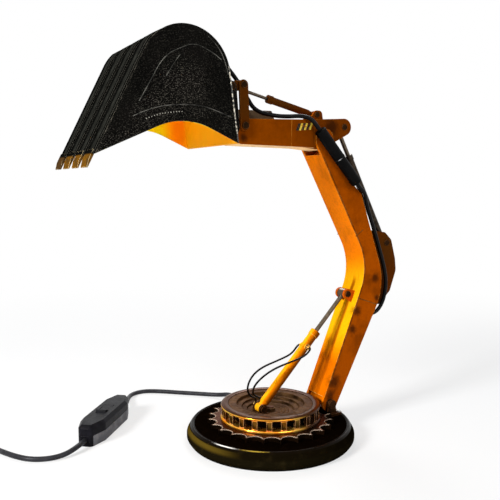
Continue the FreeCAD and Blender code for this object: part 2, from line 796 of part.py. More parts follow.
strain_relief = new_body("strain_relief")
relief_collar = base_radius - 0.4
revolve(strain_relief, [
    Corner(0, base_radius - 21),
    Corner(relief_radius, base_radius - 21, 0.8),
    Corner(relief_radius, relief_collar),
    Corner(relief_radius + 2, relief_collar, 0.6),
    Corner(relief_radius + 2, relief_collar + 3, 1.2),
    Corner(relief_radius + 0.6, relief_collar + 3.4, 0.8),
    Corner(lead_radius + 0.9, relief_end, 0.5),
    Corner(0, relief_end),
])
set_down(strain_relief, relief_x, 0, relief_z, V(1, 0, 0), -90)

# Boom

boom_bottom = boom_foot_z - boom_foot_radius
boom_outline = [
    Corner(boom_foot_x - 1.511 * boom_foot_radius, boom_bottom, 0.985 * boom_foot_radius),
    Corner(boom_foot_x + 0.693 * boom_foot_radius, boom_bottom, 0.985 * boom_foot_radius),
    Corner(boom_back_x, boom_back_z, 62),
    Corner(boom_tip_x + 48.5, boom_tip_z - 54.5, 8),
    Corner(boom_tip_x + 34, boom_tip_z - 41.5, 6),
    Corner(boom_tip_x + 12, boom_tip_z - 5, 3),
    Corner(boom_tip_x + boom_tip_radius, boom_tip_z + boom_tip_radius, 0.88 * boom_tip_radius),
    Corner(boom_tip_x - 1.638 * boom_tip_radius, boom_tip_z + boom_tip_radius, 0.99 * boom_tip_radius),
    Corner(boom_belly_x, boom_belly_z, 57),
]
boom_inner_half = boom_half_width - boom_side_wall

boom_box = new_body("boom_box")
pad(boom_box, "XZ", [boom_outline], -1 * boom_half_width, boom_half_width)
cut(boom_box, "XZ", [inset(boom_outline, boom_skin)], -1 * boom_inner_half, boom_inner_half)

# A curved web closes the box below the fork
fork_web = Circle(boom_tip_x, boom_tip_z, fork_slot_radius + boom_skin)
pad(boom_box, "XZ", [fork_web], -1 * boom_inner_half, boom_inner_half)
around_boom = box(
    boom_tip_x - 2 * fork_slot_radius, boom_bottom - fork_slot_radius,
    boom_back_x + 2 * fork_slot_radius, boom_tip_z + 2 * fork_slot_radius,
)
cut(boom_box, "XZ", [around_boom, boom_outline], -1 * boom_inner_half, boom_inner_half)
fork_slot = Circle(boom_tip_x, boom_tip_z, fork_slot_radius)
cut(boom_box, "XZ", [fork_slot], -1 * boom_inner_half, boom_inner_half)
foot_slot = Circle(boom_foot_x, boom_foot_z, boom_foot_radius + 1)
cut(boom_box, "XZ", [foot_slot], -1 * boom_inner_half, boom_inner_half)
boom_bush = Circle(boom_foot_x, boom_foot_z, boom_bush_radius)
pad(boom_box, "XZ", [boom_bush], -1 * boom_inner_half - 0.5, boom_inner_half + 0.5)
boom_foot_bore = Circle(boom_foot_x, boom_foot_z, foot_pin_radius + running)
cut(boom_box, "XZ", [boom_foot_bore], -1 * boom_half_width - 1, boom_half_width + 1)
boom_tip_bore = Circle(boom_tip_x, boom_tip_z, tip_pin_radius)
cut(boom_box, "XZ", [boom_tip_bore], -1 * boom_half_width - 1, boom_half_width + 1)

# The cable goes into the boom through its back plate
grommet_radius = 3.9
grommet_half = 3.8
entry_x, entry_y, entry_z = 118.5, -9, 118
entry_direction = (0.995, 0, -0.1)
tilted_hole(boom_box, (entry_x, entry_y, entry_z), entry_direction, grommet_radius, 14)

cable_grommet = new_body("cable_grommet")
grommet_bore = cable_radius + 0.6
revolve(cable_grommet, [
    Corner(grommet_bore, -grommet_half, 0.3),
    Corner(grommet_radius, -grommet_half, 0.3),
    Corner(grommet_radius, grommet_half, 0.8),
    Corner(grommet_bore, grommet_half, 0.3),
])
cable_grommet.Placement = tilted(entry_x, entry_y, entry_z, entry_direction)


def belly_below():
    """The straight lower belly: a point on it, its upward direction and its outward normal."""
    normals = line_normals(boom_outline)
    normal = normals[-1]
    return normal, (normal[1], -normal[0])


belly_normal, belly_up = belly_below()
head_drop = (
    (float(boom_ram_head_x) - float(boom_belly_x)) * belly_normal[0]
    + (float(boom_ram_head_z) - float(boom_belly_z)) * belly_normal[1]
)
lug_root_x = boom_ram_head_x - head_drop * belly_normal[0]
lug_root_z = boom_ram_head_z - head_drop * belly_normal[1]
lug_spread = 6.4
boom_lug_radius = 5.5
boom_rod_half = boom_ram_half + 0.7
boom_lug_inner = boom_rod_half + ear_play
boom_lug_outer = boom_lug_inner + lug_wall

boom_lugs = new_body("boom_lugs")
boom_lug = [
    Corner(lug_root_x - lug_spread * belly_up[0], lug_root_z - lug_spread * belly_up[1]),
    Corner(lug_root_x + lug_spread * belly_up[0], lug_root_z + lug_spread * belly_up[1]),
    Disc(boom_ram_head_x, boom_ram_head_z, boom_lug_radius),
]
both_sides(pad, boom_lugs, [boom_lug], boom_lug_inner, boom_lug_outer)
boom_head_hole = Circle(boom_ram_head_x, boom_ram_head_z, ram_pin_radius)
both_sides(cut, boom_lugs, [boom_head_hole], boom_lug_inner - 1, boom_lug_outer + 1)

bracket_inner = stick_ram_half + ear_play
bracket_outer = bracket_inner + lug_wall

stick_cylinder_bracket = new_body("stick_cylinder_bracket")
back_bracket = [
    Corner(boom_back_x - 18, boom_back_z - back_bracket_drop),
    Corner(boom_back_x, boom_back_z - back_bracket_drop - 1.5, 3),
    Corner(boom_back_x + 14.5, boom_back_z - 9.1, 6),
    Corner(boom_back_x + back_bracket_depth, stick_ram_foot_z - 31, 14),
    Corner(boom_back_x + back_bracket_depth - 1.6, stick_ram_foot_z - 18, 8),
    Corner(stick_ram_foot_x + 7, stick_ram_foot_z + 3, 5),
    Corner(stick_ram_foot_x - 2, stick_ram_foot_z + 11.5, 5),
    Corner(boom_back_x - 26, stick_ram_foot_z + back_bracket_rise),
]
both_sides(pad, stick_cylinder_bracket, [back_bracket], bracket_inner, bracket_outer)
both_sides(cut, stick_cylinder_bracket, [boom_outline], bracket_inner - 0.5, bracket_outer + 0.5)
bracket_hole = Circle(stick_ram_foot_x, stick_ram_foot_z, ram_pin_radius)
both_sides(cut, stick_cylinder_bracket, [bracket_hole], bracket_inner - 1, bracket_outer + 1)

boom_pins = new_body("boom_pins")
pin(boom_pins, boom_tip_x, boom_tip_z, tip_pin_radius, boom_half_width, 0, 0)
pin(boom_pins, boom_ram_head_x, boom_ram_head_z, ram_pin_radius, boom_lug_outer, ram_pin_radius + 1.4, 1.2)
pin(boom_pins, stick_ram_foot_x, stick_ram_foot_z, ram_pin_radius, bracket_outer, ram_pin_radius + 1.4, 1.2)

# Stick

stick_rear = boom_tip_x - stick_rear_gap
stick_bottom = boom_tip_z - 8.4
stick_top_front = bucket_pivot_z + nose_radius
stick_outline = [
    Disc(bucket_pivot_x, bucket_pivot_z, nose_radius),
    Corner(bucket_pivot_x + 9, stick_bottom + 0.9, 3),
    Corner(stick_rear, stick_bottom),
    Corner(stick_rear, boom_tip_z + 19, 1),
]
tail_outline = [
    Corner(stick_rear - 12, stick_bottom),
    Disc(boom_tip_x, boom_tip_z, 10.5),
    Corner(boom_tip_x + 13.5, boom_tip_z - 3, 3),
    Disc(stick_ram_head_x, stick_ram_head_z, horn_radius),
    Corner(stick_rear - 12, boom_tip_z + 18.5),
]

stick_box = new_body("stick_box")
stick_inner_half = stick_half_width - stick_wall
pad(stick_box, "XZ", [stick_outline, inset(stick_outline, stick_wall)], -1 * stick_inner_half, stick_inner_half)
both_sides(pad, stick_box, [stick_outline], stick_inner_half - 0.2, stick_half_width)
pad(stick_box, "XZ", [tail_outline], -1 * stick_tail_half, stick_tail_half)

# The far side wall stands up as a guard beside the cable
guard_top = stick_top_front + guard_height
guard_front = bucket_pivot_x + 12
guard_rear = stick_rear - 27
guard_lean = 5
guard_outline = [
    Corner(guard_front, stick_top_front - 2),
    Corner(guard_rear, stick_top_front),
    Corner(guard_rear - guard_lean, guard_top + 1, 2),
    Corner(guard_front, guard_top, 5),
]
pad(stick_box, "XZ", [guard_outline], stick_inner_half, stick_half_width)
stick_tip_bore = Circle(boom_tip_x, boom_tip_z, tip_pin_radius + running)
cut(stick_box, "XZ", [stick_tip_bore], -1 * stick_half_width, stick_half_width)
horn_slot_half = stick_rod_half + ear_play
ram_x, ram_z, stick_ram_length = direction_between(
    stick_ram_head_x, stick_ram_head_z, stick_ram_foot_x, stick_ram_foot_z
)
rod_eye_radius = 4.6
slot_radius = rod_eye_radius + 1.2
slot_depth = 14
mouth_half = 7.5
slot_mouth_x = stick_ram_head_x + slot_depth * ram_x
slot_mouth_z = stick_ram_head_z + slot_depth * ram_z
horn_slot = [
    Corner(slot_mouth_x + mouth_half * ram_z, slot_mouth_z - mouth_half * ram_x),
    Corner(slot_mouth_x - mouth_half * ram_z, slot_mouth_z + mouth_half * ram_x),
    Disc(stick_ram_head_x, stick_ram_head_z, slot_radius),
]
cut(stick_box, "XZ", [horn_slot], -1 * horn_slot_half, horn_slot_half)
horn_hole = Circle(stick_ram_head_x, stick_ram_head_z, small_pin_radius)
cut(stick_box, "XZ", [horn_hole], -1 * stick_half_width, stick_half_width)
nose_hole = Circle(bucket_pivot_x, bucket_pivot_z, link_pin_radius)
rocker_x = bucket_pivot_x + rocker_foot_x
rocker_z = bucket_pivot_z + rocker_foot_z
rocker_hole = Circle(rocker_x, rocker_z, link_pin_radius)
cut(stick_box, "XZ", [nose_hole, rocker_hole], -1 * stick_half_width - 1, stick_half_width + 1)

lug_half_inner = bucket_ram_half + ear_play
lug_half_outer = lug_half_inner + lug_wall

bucket_cylinder_lug = new_body("bucket_cylinder_lug")
lug_root_drop = 8
lug_nose = 2.5
lug_outline = [
    Corner(bucket_ram_foot_x - bucket_lug_base, bucket_ram_foot_z - lug_root_drop),
    Corner(bucket_ram_foot_x + bucket_lug_base - lug_nose, bucket_ram_foot_z - lug_root_drop),
    Disc(bucket_ram_foot_x + lug_nose, bucket_ram_foot_z, bucket_lug_radius),
    Disc(bucket_ram_foot_x, bucket_ram_foot_z, bucket_lug_radius),
]
both_sides(pad, bucket_cylinder_lug, [lug_outline], lug_half_inner, lug_half_outer)
both_sides(cut, bucket_cylinder_lug, [tail_outline], lug_half_inner - 0.5, lug_half_outer + 0.5)
lug_hole = Circle(bucket_ram_foot_x, bucket_ram_foot_z, small_pin_radius)
both_sides(cut, bucket_cylinder_lug, [lug_hole], lug_half_inner - 1, lug_half_outer + 1)

plate_inner = stick_half_width + linkage_gap
plate_outer = plate_inner + linkage_plate

stick_pins = new_body("stick_pins")
pin(stick_pins, bucket_pivot_x, bucket_pivot_z, link_pin_radius, plate_outer + 0.2, link_pin_radius + 1.6, 1.4)
pin(stick_pins, rocker_x, rocker_z, link_pin_radius, plate_outer + 0.2, link_pin_radius + 1.2, 1.4)
pin(stick_pins, stick_ram_head_x, stick_ram_head_z, small_pin_radius, stick_tail_half, small_pin_radius + 1.6, 1)
pin(stick_pins, bucket_ram_foot_x, bucket_ram_foot_z, small_pin_radius, lug_half_outer, small_pin_radius + 1.2, 1)

# Rams: a barrel on its foot pin, and a rod that slides in it


def lay_along(body, x, z, direction):
    """A body drawn up its own Z, set down with that Z along a direction in the plane of the arm."""
    set_down(body, x, 0, z, V(0, 1, 0), math.degrees(math.atan2(direction[0], direction[1])))


def ram_barrel(name, foot, direction, length, radius, rod_radius, eye_radius, half, pin_radius, bosses=()):
    body = new_body(name)
    gland_length = 6
    gland_radius = radius + 0.6
    neck = eye_radius * 0.6
    revolve(body, [
        Corner(0, neck),
        Corner(radius * 0.8, neck),
        Corner(radius * 0.8, eye_radius + 0.6),
        Corner(radius, eye_radius + 3, 1),
        Corner(radius, length - gland_length),
        Corner(gland_radius, length - gland_length, 0.3),
        Corner(gland_radius, length, 0.5),
        Corner(0, length),
    ])
    pad(body, "XZ", [Circle(0, 0, eye_radius)], -1 * half, half)
    for place, boss_radius, face in bosses:
        pad(body, "XZ", [Circle(0, place, boss_radius)], -1 * face, face)
    cut(body, "XZ", [Circle(0, 0, pin_radius + running)], -1 * half - 1, half + 1)
    cut(body, "XY", [Circle(0, 0, rod_radius + running)], length * 0.18, length + 1)
    lay_along(body, foot[0], foot[1], direction)
    return body


def ram_rod(name, foot, direction, start, length, radius, eye_radius, half, pin_radius):
    body = new_body(name)
    revolve(body, box(0, start, radius, length - eye_radius + 0.8))
    pad(body, "XZ", [Circle(0, length, eye_radius)], -1 * half, half)
    cut(body, "XZ", [Circle(0, length, pin_radius + rod_eye_play)], -1 * half - 1, half + 1)
    lay_along(body, foot[0], foot[1], direction)
    return body


boom_ram_foot = (boom_ram_foot_x, boom_ram_foot_z)
boom_ram = direction_between(*boom_ram_foot, boom_ram_head_x, boom_ram_head_z)
hose_bosses = ((hose_boss_place, hose_boss_radius, hose_boss_face),)
ram_barrel("boom_barrel", boom_ram_foot, boom_ram, boom_barrel_length, boom_barrel_radius, boom_rod_radius,
           ram_foot_eye, boom_ram_half, ram_pin_radius, hose_bosses)
ram_rod("boom_rod", boom_ram_foot, boom_ram, boom_barrel_length * 0.6, boom_ram[2], boom_rod_radius,
        4.8, boom_rod_half, ram_pin_radius)

hose_fittings = new_body("hose_fittings")
both_sides(pad, hose_fittings, [hexagon(0, hose_boss_place, 5)], hose_boss_face, hose_boss_face + 1.8)
fitting_nose = Circle(0, hose_boss_place, hose_radius + 0.6)
fitting_end = hose_boss_face + 3.1
both_sides(pad, hose_fittings, [fitting_nose], hose_boss_face + 1, fitting_end)
lay_along(hose_fittings, *boom_ram_foot, boom_ram)

stick_ram_foot = (stick_ram_foot_x, stick_ram_foot_z)
stick_ram = (-ram_x, -ram_z)
ram_barrel("stick_barrel", stick_ram_foot, stick_ram, stick_barrel_length, stick_barrel_radius, stick_rod_radius,
           4.6, stick_ram_half, ram_pin_radius)
ram_rod("stick_rod", stick_ram_foot, stick_ram, stick_barrel_length * 0.7, stick_ram_length, stick_rod_radius,
        rod_eye_radius, stick_rod_half, small_pin_radius)

rocker_top_x = rocker_x + rocker_head_x
rocker_top_z = rocker_z + rocker_head_z
bucket_ram_foot = (bucket_ram_foot_x, bucket_ram_foot_z)
bucket_ram = direction_between(*bucket_ram_foot, rocker_top_x, rocker_top_z)
ram_barrel("bucket_barrel", bucket_ram_foot, bucket_ram, bucket_barrel_length, bucket_barrel_radius,
           bucket_rod_radius, 4, bucket_ram_half, small_pin_radius)
ram_rod("bucket_rod", bucket_ram_foot, bucket_ram, bucket_barrel_length * 0.5, bucket_ram[2], bucket_rod_radius,
        4.2, bucket_rod_half, small_pin_radius)

# Bucket linkage: a rocker on the stick, a pair of links, and the ears of the bucket

rocker = new_body("rocker")
rocker_bar = [
    Disc(rocker_x, rocker_z, linkage_eye_radius),
    Disc(rocker_top_x, rocker_top_z, linkage_eye_radius),
]
both_sides(pad, rocker, [rocker_bar], plate_inner, plate_outer)
rocker_tube_inner = bucket_rod_half + ear_play + 0.3
rocker_tube = Circle(rocker_top_x, rocker_top_z, rocker_tube_radius)
both_sides(pad, rocker, [rocker_tube], rocker_tube_inner, plate_inner + 0.5)
rocker_bore = Circle(rocker_x, rocker_z, link_pin_radius + running)
cut(rocker, "XZ", [rocker_bore], -1 * plate_outer - 1, plate_outer + 1)
head_bore = Circle(rocker_top_x, rocker_top_z, small_pin_radius)
cut(rocker, "XZ", [head_bore], -1 * plate_outer - 1, plate_outer + 1)

rocker_pin = new_body("rocker_pin")
pin(rocker_pin, rocker_top_x, rocker_top_z, small_pin_radius, plate_outer, small_pin_radius + 1.4, 1.2)

link_x = bucket_pivot_x + rocker_head_x
link_z = bucket_pivot_z + rocker_head_z
link_outer = plate_inner - 0.7
link_inner = link_outer - link_plate

link_plates = new_body("link_plates")
link_bar = [
    Disc(link_x, link_z, linkage_eye_radius),
    Disc(rocker_top_x, rocker_top_z, linkage_eye_radius),
]
both_sides(pad, link_plates, [link_bar], link_inner, link_outer)
link_bores = [
    Circle(link_x, link_z, link_pin_radius + running),
    Circle(rocker_top_x, rocker_top_z, rocker_tube_radius + running),
]
both_sides(cut, link_plates, link_bores, link_inner - 1, link_outer + 1)

bucket_link_pin = new_body("bucket_link_pin")
pin(bucket_link_pin, link_x, link_z, link_pin_radius, plate_outer, link_pin_radius + 1.4, 1.2)

# Bucket

crown = Disc(crown_x, crown_z, crown_radius)
lip = Corner(lip_x, lip_z)
heel = Corner(heel_x, heel_z, 0)
shell_outline = [lip, Corner(arch_x, arch_z, arch_radius), heel, crown]
shell_normals = line_normals(shell_outline)
back_normal, lip_normal = shell_normals[2], shell_normals[3]
back_down = (back_normal[1], -back_normal[0])
lip_down = (-lip_normal[1], lip_normal[0])
reach_below = 30
inside_outline = [
    Corner(lip_x - bucket_wall * lip_normal[0] + reach_below * lip_down[0],
           lip_z - bucket_wall * lip_normal[1] + reach_below * lip_down[1]),
    Corner(heel_x - bucket_wall * back_normal[0] + reach_below * back_down[0],
           heel_z - bucket_wall * back_normal[1] + reach_below * back_down[1]),
    Disc(crown_x, crown_z, crown_radius - bucket_wall),
]
inside_half = bucket_half_width - bucket_wall

bucket_shell = new_body("bucket_shell")
pad(bucket_shell, "XZ", [shell_outline], -1 * bucket_half_width, bucket_half_width)
cut(bucket_shell, "XZ", [inside_outline], -1 * inside_half, inside_half)

# The lamp holder hangs from a flat boss in the crown, on the side of the arm
slope = math.radians(gland_angle.value)
gland_out = (math.cos(slope), 0, math.sin(slope))
gland_x = crown_x + crown_radius * gland_out[0]
gland_z = crown_z + crown_radius * gland_out[2]
boss_radius = 9
boss_out = 1.2
boss_in = bucket_wall + 1.3
gland_bore = 5


def on_gland_axis(depth):
    """A point a depth inside the crown, on the axis of the lamp holder."""
    return gland_x - depth * gland_out[0], 0, gland_z - depth * gland_out[2]


boss_sketch = sketch_on(
    bucket_shell, "XY", [Circle(0, 0, boss_radius)], 0, tilted(*on_gland_axis(boss_in), gland_out)
)
extrude(bucket_shell, "Pad", boss_sketch, boss_in + boss_out)
tilted_hole(bucket_shell, on_gland_axis(0), gland_out, gland_bore, 20)


def along_gland(body):
    """Set down a body drawn along its own Z, with Z pointing down into the bucket."""
    inward = V(-gland_out[0], 0, -gland_out[2])
    body.Placement = FreeCAD.Placement(V(float(gland_x), 0, float(gland_z)), FreeCAD.Rotation(V(0, 0, 1), inward))
    bind(body, ".Placement.Base.x", gland_x)
    bind(body, ".Placement.Base.z", gland_z)


nut_start = -boss_out
nut_end = nut_start - 3.2
nipple_end = nut_end - 1.4
cap_radius = 7
cap_length = 14

lamp_holder = new_body("lamp_holder")
holder_end = boss_in + holder_length
revolve(lamp_holder, [
    Corner(0, nipple_end),
    Corner(gland_bore, nipple_end, 0.5),
    Corner(gland_bore, boss_in),
    Corner(holder_radius - 4, boss_in, 1),
    Corner(holder_radius, boss_in + 6, 2),
    Corner(holder_radius, holder_end, 1),
    Corner(holder_radius - 3, holder_end, 0.5),
    Corner(cap_radius, holder_end - 2),
    Corner(cap_radius, holder_end - 2 - cap_length),
    Corner(0, holder_end - 2 - cap_length),
])
along_gland(lamp_holder)

holder_nut = new_body("holder_nut")
pad(holder_nut, "XY", [hexagon(0, 0, 14), Circle(0, 0, gland_bore)], nut_end, nut_start)
along_gland(holder_nut)

bulb_cap = new_body("bulb_cap")
cap_start = holder_end - 2 - cap_length
revolve(bulb_cap, [
    Corner(0, cap_start),
    Corner(2.5, cap_start, 0.5),
    Corner(cap_radius, cap_start + 3),
    Corner(cap_radius, holder_end),
    Corner(0, holder_end),
])
along_gland(bulb_cap)

bulb_glass = new_body("bulb_glass")
revolve(bulb_glass, [
    Corner(0, holder_end),
    Corner(cap_radius - 0.5, holder_end),
    Corner(cap_radius + 0.5, holder_end + 4, 4),
    Disc(0, bulb_reach, bulb_radius),
    Corner(0, bulb_reach + bulb_radius + 0.001),
])
along_gland(bulb_glass)

# Ribs that run up from the lip and fade into the crown, and the teeth on their ends
lip_angle = math.degrees(math.atan2(lip_normal[1], lip_normal[0]))
rib_end_angle = 122
rib_fade_angle = 12
rib_outline = [
    Corner(lip_x, lip_z),
    Arc(crown_x, crown_z, crown_radius, lip_angle, rib_end_angle),
    Arc(crown_x, crown_z, crown_radius + rib_height, rib_end_angle + rib_fade_angle, lip_angle),
    Corner(lip_x + rib_height * lip_normal[0], lip_z + rib_height * lip_normal[1]),
]
rib_places = [-1 * rib_outer_place, -1 * rib_inner_place, rib_inner_place, rib_outer_place]

bucket_ribs = new_body("bucket_ribs")
for place in rib_places:
    pad(bucket_ribs, "XZ", [rib_outline], place - rib_half_width, place + rib_half_width)


def by_lip(down, out, radius=0):
    """A corner by the lip: so far down the front of the bucket, and so far out of it."""
    x = lip_x + down * lip_down[0] + out * lip_normal[0]
    z = lip_z + down * lip_down[1] + out * lip_normal[1]
    return Corner(x, z, radius)


tooth_step = 0.8
tooth_overlap = 3
tooth_edge = 0.9
tooth_outline = [
    by_lip(0, 0),
    by_lip(0, rib_height),
    by_lip(-tooth_overlap, rib_height),
    by_lip(-tooth_overlap, rib_height + tooth_step, 0.3),
    by_lip(tooth_reach / 2, rib_height + tooth_step, 6),
    by_lip(tooth_reach, tooth_edge, 0.3),
    by_lip(tooth_reach, 0),
]
tooth_outline.reverse()

tooth_tips = new_body("tooth_tips")
for place in rib_places:
    pad(tooth_tips, "XZ", [tooth_outline], place - rib_half_width + 1, place + rib_half_width - 1)

bucket_ears = new_body("bucket_ears")
ear_low = 8
ear_high = 60
ear_outline = [
    Corner(heel_x - ear_low * back_down[0], heel_z - ear_low * back_down[1]),
    Disc(bucket_pivot_x, bucket_pivot_z, ear_pivot_radius),
    Disc(link_x, link_z, ear_link_radius),
    Corner(heel_x - ear_high * back_down[0], heel_z - ear_high * back_down[1]),
]
both_sides(pad, bucket_ears, [ear_outline], plate_inner, plate_outer)
ear_bores = [
    Circle(bucket_pivot_x, bucket_pivot_z, link_pin_radius + running),
    Circle(link_x, link_z, link_pin_radius),
]
both_sides(cut, bucket_ears, ear_bores, plate_inner - 1, plate_outer + 1)

# Inline switch, drawn along X and turned to lie along the lead


def switch_outline():
    half, side, end = switch_half_length, switch_half_width, switch_end_half
    corners = [
        (-1 * half, -1 * end, switch_end_round),
        (-0.6 * half, -1 * side, switch_side_round),
        (0.6 * half, -1 * side, switch_side_round),
        (half, -1 * end, switch_end_round),
    ]
    near = [Corner(x, y, r) for x, y, r in corners]
    far = [Corner(x, -1 * y, r) for x, y, r in reversed(corners)]
    return near + far


rocker_slot = box(
    -1 * rocker_half_length - 1.2, -1 * rocker_half_width - ear_play,
    rocker_half_length + 1.2, rocker_half_width + ear_play,
)
rocker_axis_z = switch_top - 3
stub_radius = 1.2
stub_reach = rocker_half_width + 1.8

switch_base = new_body("switch_base")
pad(switch_base, "XY", [switch_outline()], 0, switch_seam)
set_down(switch_base, switch_x, switch_y, 0, V(0, 0, 1), switch_turn)

switch_cover = new_body("switch_cover")
switch_shoulder = switch_top - 3.5
pad(switch_cover, "XY", [switch_outline()], switch_seam, switch_shoulder)
taper(switch_cover, switch_outline(), switch_shoulder, switch_top, 3)
cut(switch_cover, "XY", [rocker_slot], switch_seam + 0.6, switch_top + 1)
cut(switch_cover, "XZ", [Circle(0, rocker_axis_z, stub_radius + running)], -1 * stub_reach - 0.3, stub_reach + 0.3)
set_down(switch_cover, switch_x, switch_y, 0, V(0, 0, 1), switch_turn)

switch_rocker = new_body("switch_rocker")
rocker_keel = 5
rocker_horn = 4.8
rocker_dip = 2.4
rocker_outline = [
    Corner(-1 * rocker_half_length, 0, 1),
    Corner(-rocker_keel, -rocker_keel, 3),
    Corner(rocker_keel, -rocker_keel, 3),
    Corner(rocker_half_length, 0, 1),
    Corner(rocker_half_length, rocker_horn, 1),
    Corner(0, rocker_dip, 8),
    Corner(-1 * rocker_half_length, rocker_horn, 1),
]
pad(switch_rocker, "XZ", [rocker_outline], -1 * rocker_half_width, rocker_half_width)
pad(switch_rocker, "XZ", [Circle(0, 0, stub_radius)], -1 * stub_reach, stub_reach)
set_down(switch_rocker, switch_x, switch_y, rocker_axis_z)
switch_heading = FreeCAD.Rotation(V(0, 0, 1), switch_turn)
switch_rocker.Placement.Rotation = switch_heading.multiply(FreeCAD.Rotation(V(0, 1, 0), rocker_rest_tilt))

# Plug, drawn along X and laid beside the coil

plug_x = coil_x - coil_radius
plug_y = coil_y - plug_lead

plug_body = new_body("plug_body")
neck_end = plug_length * 0.35
shoulder = plug_length * 0.62
plug_outline = [
    Corner(0, -1 * plug_neck_half, 2),
    Corner(neck_end, -1 * plug_neck_half - 2, 6),
    Corner(shoulder, -1 * plug_half_width, 6),
    Corner(plug_length, -1 * plug_half_width, 1),
    Corner(plug_length, plug_half_width, 1),
    Corner(shoulder, plug_half_width, 6),
    Corner(neck_end, plug_neck_half + 2, 6),
    Corner(0, plug_neck_half, 2),
]
pad(plug_body, "XY", [plug_outline], 0, 2 * plug_half_height)
set_down(plug_body, plug_x, plug_y, 0, V(0, 0, 1), -90)

plug_pins = new_body("plug_pins")
pin_spacing = 9.3
pin_circles = [Circle(y, plug_half_height, plug_pin_radius) for y in (-pin_spacing, pin_spacing)]
pad(plug_pins, "YZ", pin_circles, plug_length, plug_length + plug_pin_reach)
set_down(plug_pins, plug_x, plug_y, 0, V(0, 0, 1), -90)

doc.recompute()

# Tubes: cables, hoses and the mains lead


def add_tube(name, wire, radius):
    """A round tube along a wire, checked against its section times its length."""
    start = wire.OrderedEdges[0]
    tangent = start.tangentAt(start.FirstParameter)
    begin = start.valueAt(start.FirstParameter)
    if (begin - wire.OrderedVertexes[0].Point).Length > 1e-6:
        begin = start.valueAt(start.LastParameter)
        tangent = start.tangentAt(start.LastParameter) * -1
    section = Part.Wire([Part.Circle(begin, tangent, float(radius)).toShape()])
    shape = wire.makePipeShell([section], True, False)
    wanted = math.pi * float(radius) ** 2 * wire.Length
    if abs(shape.Volume - wanted) > 0.01 * wanted:
        raise RuntimeError(name + ": the tube's volume is wrong")
    feature = doc.addObject("Part::Feature", name)
    feature.Label = name
    feature.Shape = shape
    feature.Placement = FreeCAD.Placement()
    pieces.append(feature)
    return wire.Length


def add_route(name, points, radius):
    """A tube along straight runs, with an arc at each point as large as its two runs allow."""
    places = [V(*[float(number) for number in point]) for point in points]
    edges, radii = [], []
    last = places[0]
    for before, here, after in zip(places, places[1:], places[2:]):
        back = (before - here).normalize()
        forth = (after - here).normalize()
        half_turn = (math.pi - back.getAngle(forth)) / 2
        pull = 0.45 * min((before - here).Length, (after - here).Length)
        bend = pull / math.tan(half_turn)
        start, end = here + back * pull, here + forth * pull
        inward = (back + forth).normalize()
        middle = here + inward * (bend / math.cos(half_turn) - bend)
        edges.append(Part.LineSegment(last, start).toShape())
        edges.append(Part.Arc(start, middle, end).toShape())
        radii.append(bend)
        last = end
    edges.append(Part.LineSegment(last, places[-1]).toShape())
    length = add_tube(name, Part.Wire(edges), radius)
    print("%s: length %.0f, radii %s" % (name, length, " ".join("%.0f" % bend for bend in radii)))
    return length


def biarc(p, t, q, s):
    """Two arcs from p, heading t, to q, heading s."""
    across = q - p
    both = t + s
    spare = 2 * (1 - t.dot(s))
    reach = across.dot(both)
    if spare < 1e-9:
        pull = across.dot(across) / (2 * reach)
    else:
        pull = (math.sqrt(reach ** 2 + spare * across.dot(across)) - reach) / spare
    joint = (p + q + (t - s) * pull) * 0.5
    return [arc_from(p, t, joint), arc_from(q, s * -1, joint)]


def arc_from(p, t, q):
    """An arc that leaves p along t and ends at q."""
    chord = q - p
    side = chord - t * chord.dot(t)
    if side.Length < 1e-7:
        return Part.LineSegment(p, q).toShape()
    side.normalize()
    bend = chord.dot(chord) / (2 * chord.dot(side))
    centre = p + side * bend
    middle = centre + ((p - centre) + (q - centre)).normalize() * bend
    return Part.Arc(p, middle, q).toShape()


# The supply cable, from the bucket over the stick and down the back of the boom


def share_run(first, second, share):
    """A place on the straight run between two points of a route."""
    return tuple(float(a) + (float(b) - float(a)) * share for a, b in zip(first, second))


sleeve_start = V(43, -21.6, 310)
sleeve_end = V(89.3, -21.6, 259)
sleeve_axis = (sleeve_end - sleeve_start).normalize()
sleeve_length = (sleeve_end - sleeve_start).Length
sleeve_split = 35.5
for name, start, end in (("sleeve_upper", 0, sleeve_split), ("sleeve_lower", sleeve_split, sleeve_length)):
    sleeve = new_body(name)
    revolve(sleeve, bar(sleeve_radius, start, end, 0.8))
    sleeve.Placement = FreeCAD.Placement(sleeve_start, FreeCAD.Rotation(V(0, 0, 1), sleeve_axis))

over_link = (-18, 1, 327.5)
on_stick = (-1, -9, 322.8)
off_stick = (14, -10.5, 323)
over_edge = (25, -15, 324)
stick_joint = share_run(over_link, on_stick, 0.7)
elbow_joint = share_run(off_stick, over_edge, 0.4)
bucket_cable_points = [
    on_gland_axis(float(nipple_end)),
    on_gland_axis(float(nipple_end) - 7),
    (-56.5, 3, 374.6),
    (-44.5, 7, 367.3),
    (-31.8, 8.8, 355),
    (-23.5, 8.6, 342.5),
    over_link,
    stick_joint,
]
stick_cable_points = [stick_joint, on_stick, off_stick, elbow_joint]
elbow_cable_points = [
    elbow_joint,
    over_edge,
    (33, -20, 321.3),
    tuple(sleeve_start - sleeve_axis * 7.5),
    tuple(sleeve_start),
]
entry_way = V(*entry_direction)
entry = V(entry_x, entry_y, entry_z)
boom_cable_points = [
    tuple(sleeve_end),
    tuple(sleeve_end + sleeve_axis * 7.5),
    (103, -19.2, 248.5),
    (110, -12.6, 237),
    (120.6, -12.2, 212),
    (132.2, -12.4, 181),
    (139.3, -12.4, 159),
    (139.8, -11.6, 141),
    (136.4, -10.2, 127),
    tuple(entry + entry_way * 9),
    tuple(entry - entry_way * 10),
    (97, -8.5, 100),
    (84, -8, 72),
    (74, -8, 49),
]
add_route("bucket_cable", bucket_cable_points, cable_radius)
add_route("stick_cable", stick_cable_points, cable_radius)
add_route("elbow_cable", elbow_cable_points, cable_radius)
